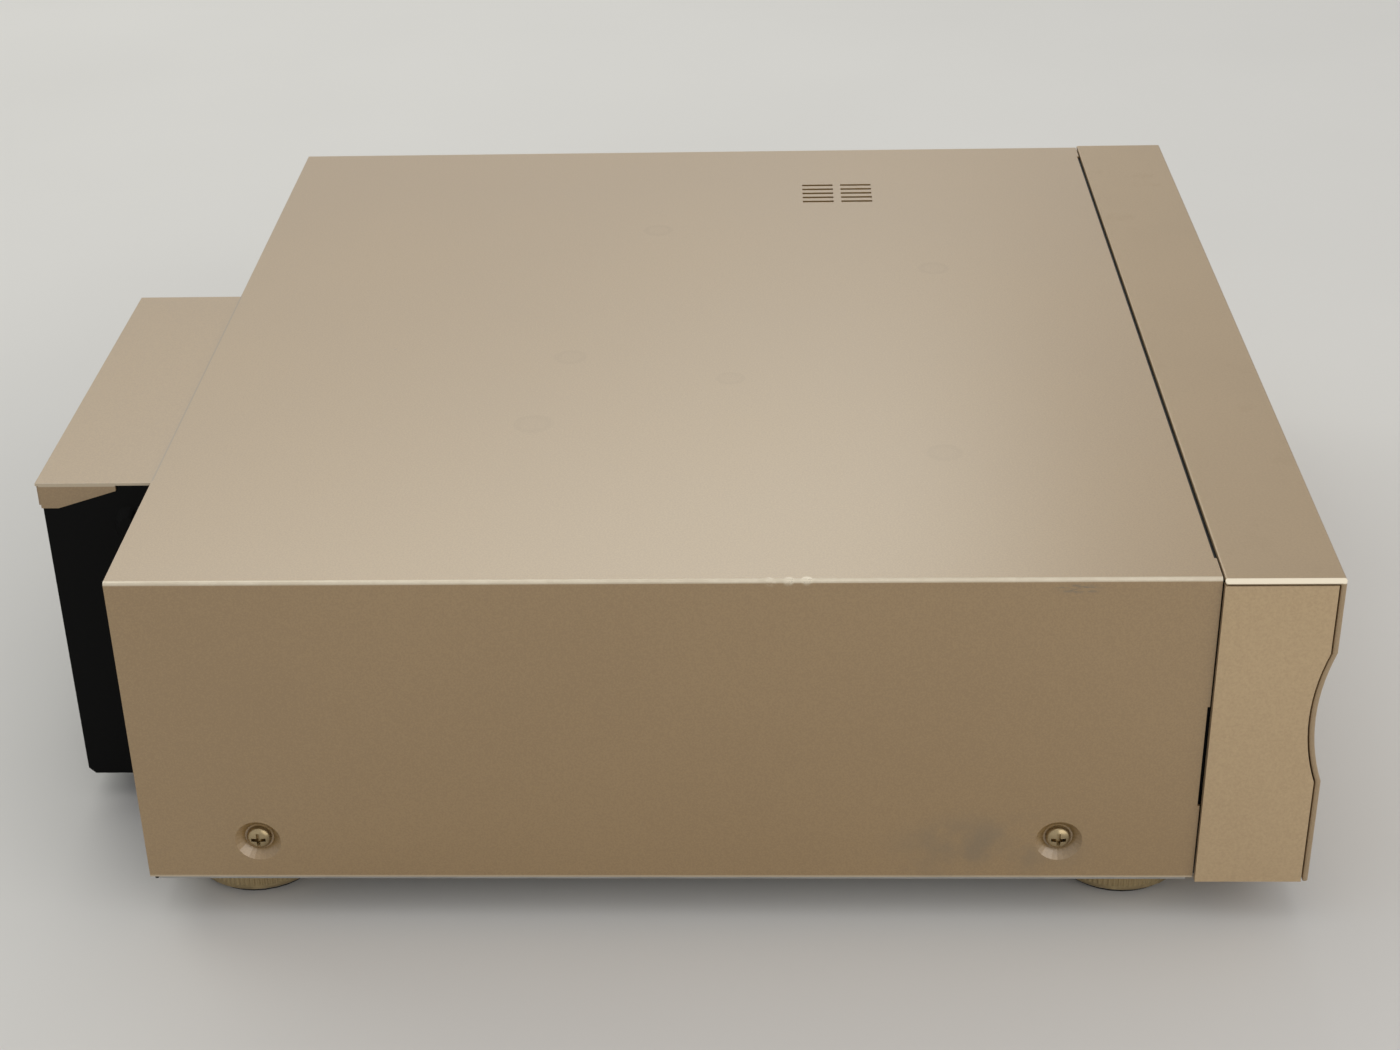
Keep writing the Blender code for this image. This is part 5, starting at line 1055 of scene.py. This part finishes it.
for kind, outlines in symbols().items():
    low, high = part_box(kind + "_button")
    spot = ((low.x + high.x) / 2, low.y + iconLook["lift"], (low.z + high.z) / 2)
    shape = raised(outlines, iconLook["depth"])
    putPiece(kind + "_symbol", shape, "black_plastic", kind + "_button", spot, "front")
lampLook = {
    # radius and height along the profiles
    "ring": [(0.0012, 0.0), (0.0021, 0.0), (0.0021, 0.0004), (0.0018, 0.0006), (0.0012, 0.0004)],
    "dome": [(0, 0.0009), (0.0006, 0.0008), (0.0011, 0.0004), (0.0012, -0.0002), (0, -0.0002)],
    "beside": 0.008,
}
lowPower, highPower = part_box("power_button")
lampX = highPower.x + lampLook["beside"]
lampSpot = (lampX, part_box("front_panel")[0].y, (lowPower.z + highPower.z) / 2)
lampRing = turned(lampLook["ring"], 32, True)
lampDome = turned(lampLook["dome"], 32)
putPiece("standby_lamp_ring", lampRing, "bright_steel", "casing", lampSpot, "front")
putPiece("standby_lamp", lampDome, "smoked_window", "casing", lampSpot, "front")
print("front symbols: 8, lamp: 1")


# Rear: metal sleeves and coloured insulators on the sockets, pins and a rim in the mains inlet,
# louvres and a rim on the housing
jackLook = {
    "rows": 2,
    "pitch": 0.017,
    "first": (0.051, 0.0705),  # x, z
    "outer": 0.0042,
    "bore": 0.0031,
    "pin": 0.0012,
    "core": 0.0022,
    "collar": 0.0064,
    "roughness": 0.42,
    "shade": 0.82,
    "colors": [srgb(224, 222, 214), srgb(170, 32, 30), srgb(214, 178, 44), srgb(30, 30, 32)],
}


plainLook = {"cloud": (400.0, 3.0, 0.6), "swing": 0.1}


def plainFinish(name, first, second, roughness):
    f = Finish(name)
    cloud = f.noise(f.place(), *plainLook["cloud"])
    rough = roughness + f.swing(cloud, plainLook["swing"])
    return f.settle(baseColor=f.mix(cloud, first, second), roughness=rough)


def jackProfiles(look):
    # radius and height of the metal sleeve, the plastic core in it and the collar round it
    outer, bore, pin = look["outer"], look["bore"], look["pin"]
    sleeve = [
        (outer + 0.0001, -0.0048),
        (outer + 0.0001, 0.0001),
        (outer - 0.0003, 0.0004),
        (bore, 0.0004),
        (bore, -0.0020),
        (outer - 0.0002, -0.0048),
    ]
    core = [
        (bore - 0.0001, -0.0003),
        (look["core"], -0.0001),
        (pin, -0.0001),
        (pin, -0.0006),
        (bore - 0.0001, -0.0008),
    ]
    collar = [
        (outer + 0.0002, 0.0),
        (look["collar"], 0.0),
        (look["collar"] + 0.0002, 0.0003),
        (look["collar"] - 0.0002, 0.0007),
        (outer + 0.0002, 0.0007),
    ]
    return sleeve, core, collar


for column, color in enumerate(jackLook["colors"]):
    name = f"insulator_{column}"
    darker = tuple(jackLook["shade"] * part for part in color[:3]) + (1.0,)
    finishes[name] = plainFinish(name, color, darker, jackLook["roughness"])
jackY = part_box("av_jacks")[1].y
sleeve, core, collar = jackProfiles(jackLook)
for column in range(len(jackLook["colors"])):
    for row in range(jackLook["rows"]):
        x = jackLook["first"][0] + column * jackLook["pitch"]
        z = jackLook["first"][1] + row * jackLook["pitch"]
        spot = (x, jackY, z)
        finish = f"insulator_{column}"
        shape = turned(sleeve, 40, True)
        putPiece(f"jack_sleeve_{column}_{row}", shape, "bright_steel", "casing", spot, "rear")
        name, shape = f"jack_core_{column}_{row}", turned(core, 32, True)
        putPiece(name, shape, finish, "casing", spot, "rear")
        name, shape = f"jack_collar_{column}_{row}", turned(collar, 40, True)
        putPiece(name, shape, finish, "casing", (x, rearY, z), "rear")


def rim(half, tall, radius, wide, depth):
    # a raised border with round corners
    build = bmesh.new()
    outer = roundedBox(half, tall, radius)
    inner = roundedBox(half - wide, tall - wide, radius - wide / 2)
    ease = wide * 0.25
    rows = []
    for points, height, draw in (
        (outer, 0, 0),
        (outer, depth, -ease),
        (inner, depth, ease),
        (inner, 0, 0),
    ):
        row = []
        for x, y in points:
            corner = (x + math.copysign(draw, x), y + math.copysign(draw, y), height)
            row.append(build.verts.new(corner))
        rows.append(row)
    joinRows(build, rows)
    return build


inletLook = {
    "pinShift": 0.0045,
    "pinFoot": 0.1716,  # y
    "pin": [(0, 0.0105), (0.0006, 0.0103), (0.0012, 0.0094), (0.0012, 0.0), (0, 0.0)],
    "rim": {"half": 0.0138, "tall": 0.0103, "radius": 0.003, "wide": 0.0016, "depth": 0.0006},
}
inletLow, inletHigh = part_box("ac_inlet")
inletX, inletZ = (inletLow.x + inletHigh.x) / 2, (inletLow.z + inletHigh.z) / 2
for number, shift in enumerate((-inletLook["pinShift"], inletLook["pinShift"])):
    shape = turned(inletLook["pin"], 24)
    spot = (inletX + shift, inletLook["pinFoot"], inletZ)
    putPiece(f"inlet_pin_{number}", shape, "bright_steel", "casing", spot, "rear")
spot = (inletX, inletHigh.y, inletZ)
putPiece("inlet_rim", rim(**inletLook["rim"]), "black_plastic", "casing", spot, "rear")
housingLook = {
    "aside": 0.0022,  # the left wall starts this far in
    "drop": 0.004,
    "rim": {"half": 0.0770, "tall": 0.0560, "radius": 0.006, "wide": 0.0014, "depth": 0.0008},
    "louvres": 9,
    "lowest": 0.024,
    "pitch": 0.006,
    "louvre": {"half": 0.0440, "tall": 0.0013, "radius": 0.0012},
    "louvreDepth": 0.0011,
    "louvreEase": 0.0005,
}
housingX = (housingLow.x + housingLook["aside"] + housingHigh.x) / 2
housingZ = (housingLow.z + housingHigh.z) / 2 - housingLook["drop"]
spot = (housingX, housingHigh.y, housingZ)
putPiece("housing_rim", rim(**housingLook["rim"]), "black_plastic", "casing", spot, "rear")
for number in range(housingLook["louvres"]):
    louvre = roundedBox(**housingLook["louvre"])
    shape = raised([louvre], housingLook["louvreDepth"], housingLook["louvreEase"])
    height = housingZ - housingLook["lowest"] + housingLook["pitch"] * number
    spot = (housingX, housingHigh.y, height)
    putPiece(f"housing_louvre_{number}", shape, "black_plastic", "casing", spot, "rear")
print("sockets: 8, louvres: 9")


# Inside: a rubber ring and studs on the turntable, the feed screw's thread, pads on the tray
tableLook = {
    "centre": (-0.035, -0.032),
    "top": 0.0953,
    "ring": [(0.0285, 0.0), (0.0290, 0.0005), (0.0425, 0.0005), (0.0430, 0.0)],
    "studs": 3,
    "studReach": 0.0235,
    "stud": [(0, 0.0012), (0.0008, 0.0011), (0.0013, 0.0005), (0.0014, 0.0), (0, 0.0)],
}
feedLook = {"radius": 0.0025, "depth": 0.00025, "pitch": 0.006, "end": 0.006}
padLook = {
    "floor": 0.09375,
    "count": 4,
    "reach": 0.143,
    "pad": [(0, 0.0006), (0.0035, 0.0006), (0.0040, 0.0003), (0.0041, 0.0), (0, 0.0)],
}


def around(reach, degrees, height):
    # a place at this reach from the turntable's axis
    angle = math.radians(degrees)
    x, y = tableLook["centre"]
    return (x + reach * math.cos(angle), y + reach * math.sin(angle), height)


def thread(radius, depth, pitch, length, steps=16):
    # a ridge wound along Z
    build = bmesh.new()
    turns = length / pitch
    half, sunk = pitch * 0.16, -0.0002
    rows = []
    for step in range(int(turns * steps) + 1):
        angle = 2 * math.pi * step / steps
        height = pitch * step / steps
        ends = min(1.0, step / steps, turns - step / steps)
        row = []
        for out, rise in ((sunk, -half), (depth * ends, 0.0), (sunk, half)):
            row.append(build.verts.new(polar(radius + out, angle, height + rise)))
        rows.append(row)
    for first, second in zip(rows, rows[1:]):
        for i in range(3):
            j = (i + 1) % 3
            build.faces.new((first[i], first[j], second[j], second[i]))
    build.faces.new(rows[0])
    build.faces.new(rows[-1])
    return build


spot = (*tableLook["centre"], tableLook["top"])
putPiece("turntable_pad", turned(tableLook["ring"], 72, True), "rubber", "turntable", spot)
for number in range(tableLook["studs"]):
    spot = around(tableLook["studReach"], 90 + 120 * number, tableLook["top"])
    shape = turned(tableLook["stud"], 24)
    putPiece(f"turntable_stud_{number}", shape, "bright_steel", "turntable", spot)
feedLow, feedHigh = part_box("feed_screw")
end = feedLook["end"]
spot = ((feedLow.x + feedHigh.x) / 2, feedLow.y + end, (feedLow.z + feedHigh.z) / 2)
feedLength = feedHigh.y - feedLow.y - 2 * end
shape = thread(feedLook["radius"], feedLook["depth"], feedLook["pitch"], feedLength)
putPiece("feed_thread", shape, "bright_steel", "feed_screw", spot, "rear")
for number in range(padLook["count"]):
    spot = around(padLook["reach"], 45 + 90 * number, padLook["floor"])
    putPiece(f"tray_pad_{number}", turned(padLook["pad"], 32), "rubber", "tray", spot)
print("inner pieces: 9")


# Power board: film sleeves and crimped lids on the three capacitors
capacitorLook = {
    "radius": 0.011,
    "low": 0.0231,
    "high": 0.0528,
    "film": srgb(34, 40, 52),
    "filmShade": srgb(26, 30, 40),
    "roughness": 0.34,
    "places": [(0.15424, 0.0055), (0.17976, 0.0055), (0.15424, 0.0344)],
}


def capacitorProfiles(look):
    radius, low, high = look["radius"], look["low"], look["high"]
    sleeve = [
        (radius - 0.0002, low),
        (radius + 0.0003, low),
        (radius + 0.0003, high - 0.0052),
        (radius - 0.0001, high - 0.0046),
        (radius + 0.0003, high - 0.0040),
        (radius + 0.0003, high - 0.0002),
        (radius - 0.0001, high + 0.0004),
        (radius - 0.0022, high + 0.0004),
        (radius - 0.0022, high + 0.0001),
    ]
    lid = [
        (0, high + 0.0002),
        (radius - 0.0028, high + 0.0002),
        (radius - 0.0023, high + 0.0005),
        (radius - 0.0019, high + 0.0001),
        (0, high - 0.0002),
    ]
    return sleeve, lid


look = capacitorLook
film = plainFinish("capacitor_film", look["film"], look["filmShade"], look["roughness"])
finishes["capacitor_film"] = film
sleeve, lid = capacitorProfiles(look)
for number, place in enumerate(look["places"]):
    spot = (*place, 0)
    name, shape = f"capacitor_sleeve_{number}", turned(sleeve, 48, True)
    putPiece(name, shape, "capacitor_film", "casing", spot, "up")
    name, shape = f"capacitor_lid_{number}", turned(lid, 48)
    putPiece(name, shape, "bright_steel", "casing", spot, "up")
print("capacitors: 3")


cameraLook = {
    "place": (-0.88317, -0.03764, 0.53269),
    "right": (0.03268, -0.99918, -0.02404),
    "up": (0.48900, -0.00500, 0.87227),
    "lens": 60.40,  # millimetres
    "sensor": 36.0,
    "shift": (0.0204, 0.0138),
    "nearest": 0.02,
}


def makeCamera(look):
    data = bpy.data.cameras.new("camera")
    data.lens = look["lens"]
    data.sensor_width = look["sensor"]
    data.shift_x, data.shift_y = look["shift"]
    data.clip_start = look["nearest"]
    camera = bpy.data.objects.new("camera", data)
    bpy.context.scene.collection.objects.link(camera)
    right = Vector(look["right"]).normalized()
    back = right.cross(Vector(look["up"])).normalized()
    up = back.cross(right)
    turn = Matrix((right, up, back)).transposed().to_4x4()
    camera.matrix_world = Matrix.Translation(look["place"]) @ turn
    bpy.context.scene.camera = camera


lampAim = (0.0, 0.0, 0.07)
lampLooks = {
    # name: place, size across and along, power in watts, colour
    "overheadLamp": ((-0.35, 0.10, 1.9), (1.6, 1.6), 5.0, (1.0, 0.985, 0.96)),
    "farLamp": ((1.3, 0.8, 1.55), (2.9, 0.7), 15.3, (0.97, 1.0, 0.94)),
    "nearLamp": ((-1.2, -1.15, 0.8), (1.9, 1.4), 10.5, (1.0, 0.98, 0.95)),
}
worldLook = {"seen": (0.66, 0.65, 0.63, 1.0), "light": (0.93, 0.95, 1.0, 1.0), "strength": 0.62}
floorLook = {
    "size": 14.0,
    "height": -0.0002,
    "color": srgb(214, 211, 205),
    "shade": srgb(206, 203, 197),
    "roughness": 0.75,
    "cloud": (3.0, 3.0, 0.5),
    "swing": 0.1,
}


def makeLights():
    for name, (place, size, power, color) in lampLooks.items():
        data = bpy.data.lights.new(name, "AREA")
        data.shape = "RECTANGLE"
        data.size, data.size_y = size
        data.energy = power
        data.color = color
        lamp = bpy.data.objects.new(name, data)
        bpy.context.scene.collection.objects.link(lamp)
        lamp.location = place
        aim = Vector(lampAim) - Vector(place)
        lamp.rotation_euler = aim.to_track_quat("-Z", "Y").to_euler()


def makeWorld():
    world = bpy.data.worlds.new("studio")
    world.use_nodes = True
    bpy.context.scene.world = world
    tree = world.node_tree
    seen = tree.nodes.new("ShaderNodeBackground")
    seen.inputs["Color"].default_value = worldLook["seen"]
    lit = tree.nodes["Background"]
    lit.inputs["Color"].default_value = worldLook["light"]
    lit.inputs["Strength"].default_value = worldLook["strength"]
    rays = tree.nodes.new("ShaderNodeLightPath")
    either, both = (tree.nodes.new("ShaderNodeMath") for count in range(2))
    for maths in (either, both):
        maths.operation = "ADD"
        maths.use_clamp = True
    blend = tree.nodes.new("ShaderNodeMixShader")
    for start, end in (
        (rays.outputs["Is Camera Ray"], either.inputs[0]),
        (rays.outputs["Is Transmission Ray"], either.inputs[1]),
        (either.outputs[0], both.inputs[0]),
        (rays.outputs["Is Glossy Ray"], both.inputs[1]),
        (both.outputs[0], blend.inputs[0]),
        (lit.outputs[0], blend.inputs[1]),
        (seen.outputs[0], blend.inputs[2]),
        (blend.outputs[0], tree.nodes["World Output"].inputs["Surface"]),
    ):
        tree.links.new(start, end)


def makeFloor():
    half = floorLook["size"] / 2
    mesh = bpy.data.meshes.new("studio_floor")
    corners = [(-half, -half, 0.0), (half, -half, 0.0), (half, half, 0.0), (-half, half, 0.0)]
    mesh.from_pydata(corners, [], [(0, 1, 2, 3)])
    floor = bpy.data.objects.new("studio_floor", mesh)
    bpy.context.scene.collection.objects.link(floor)
    floor.location.z = floorLook["height"]
    f = Finish("studio_floor")
    cloud = f.noise(f.place(), *floorLook["cloud"])
    color = f.mix(cloud, floorLook["color"], floorLook["shade"])
    rough = floorLook["roughness"] + f.swing(cloud, floorLook["swing"])
    f.settle(baseColor=color, roughness=rough)
    mesh.materials.append(f.material)


makeCamera(cameraLook)
makeLights()
makeWorld()
makeFloor()
bpy.context.scene.view_settings.view_transform = "Standard"
print("camera, lamps, world and floor")
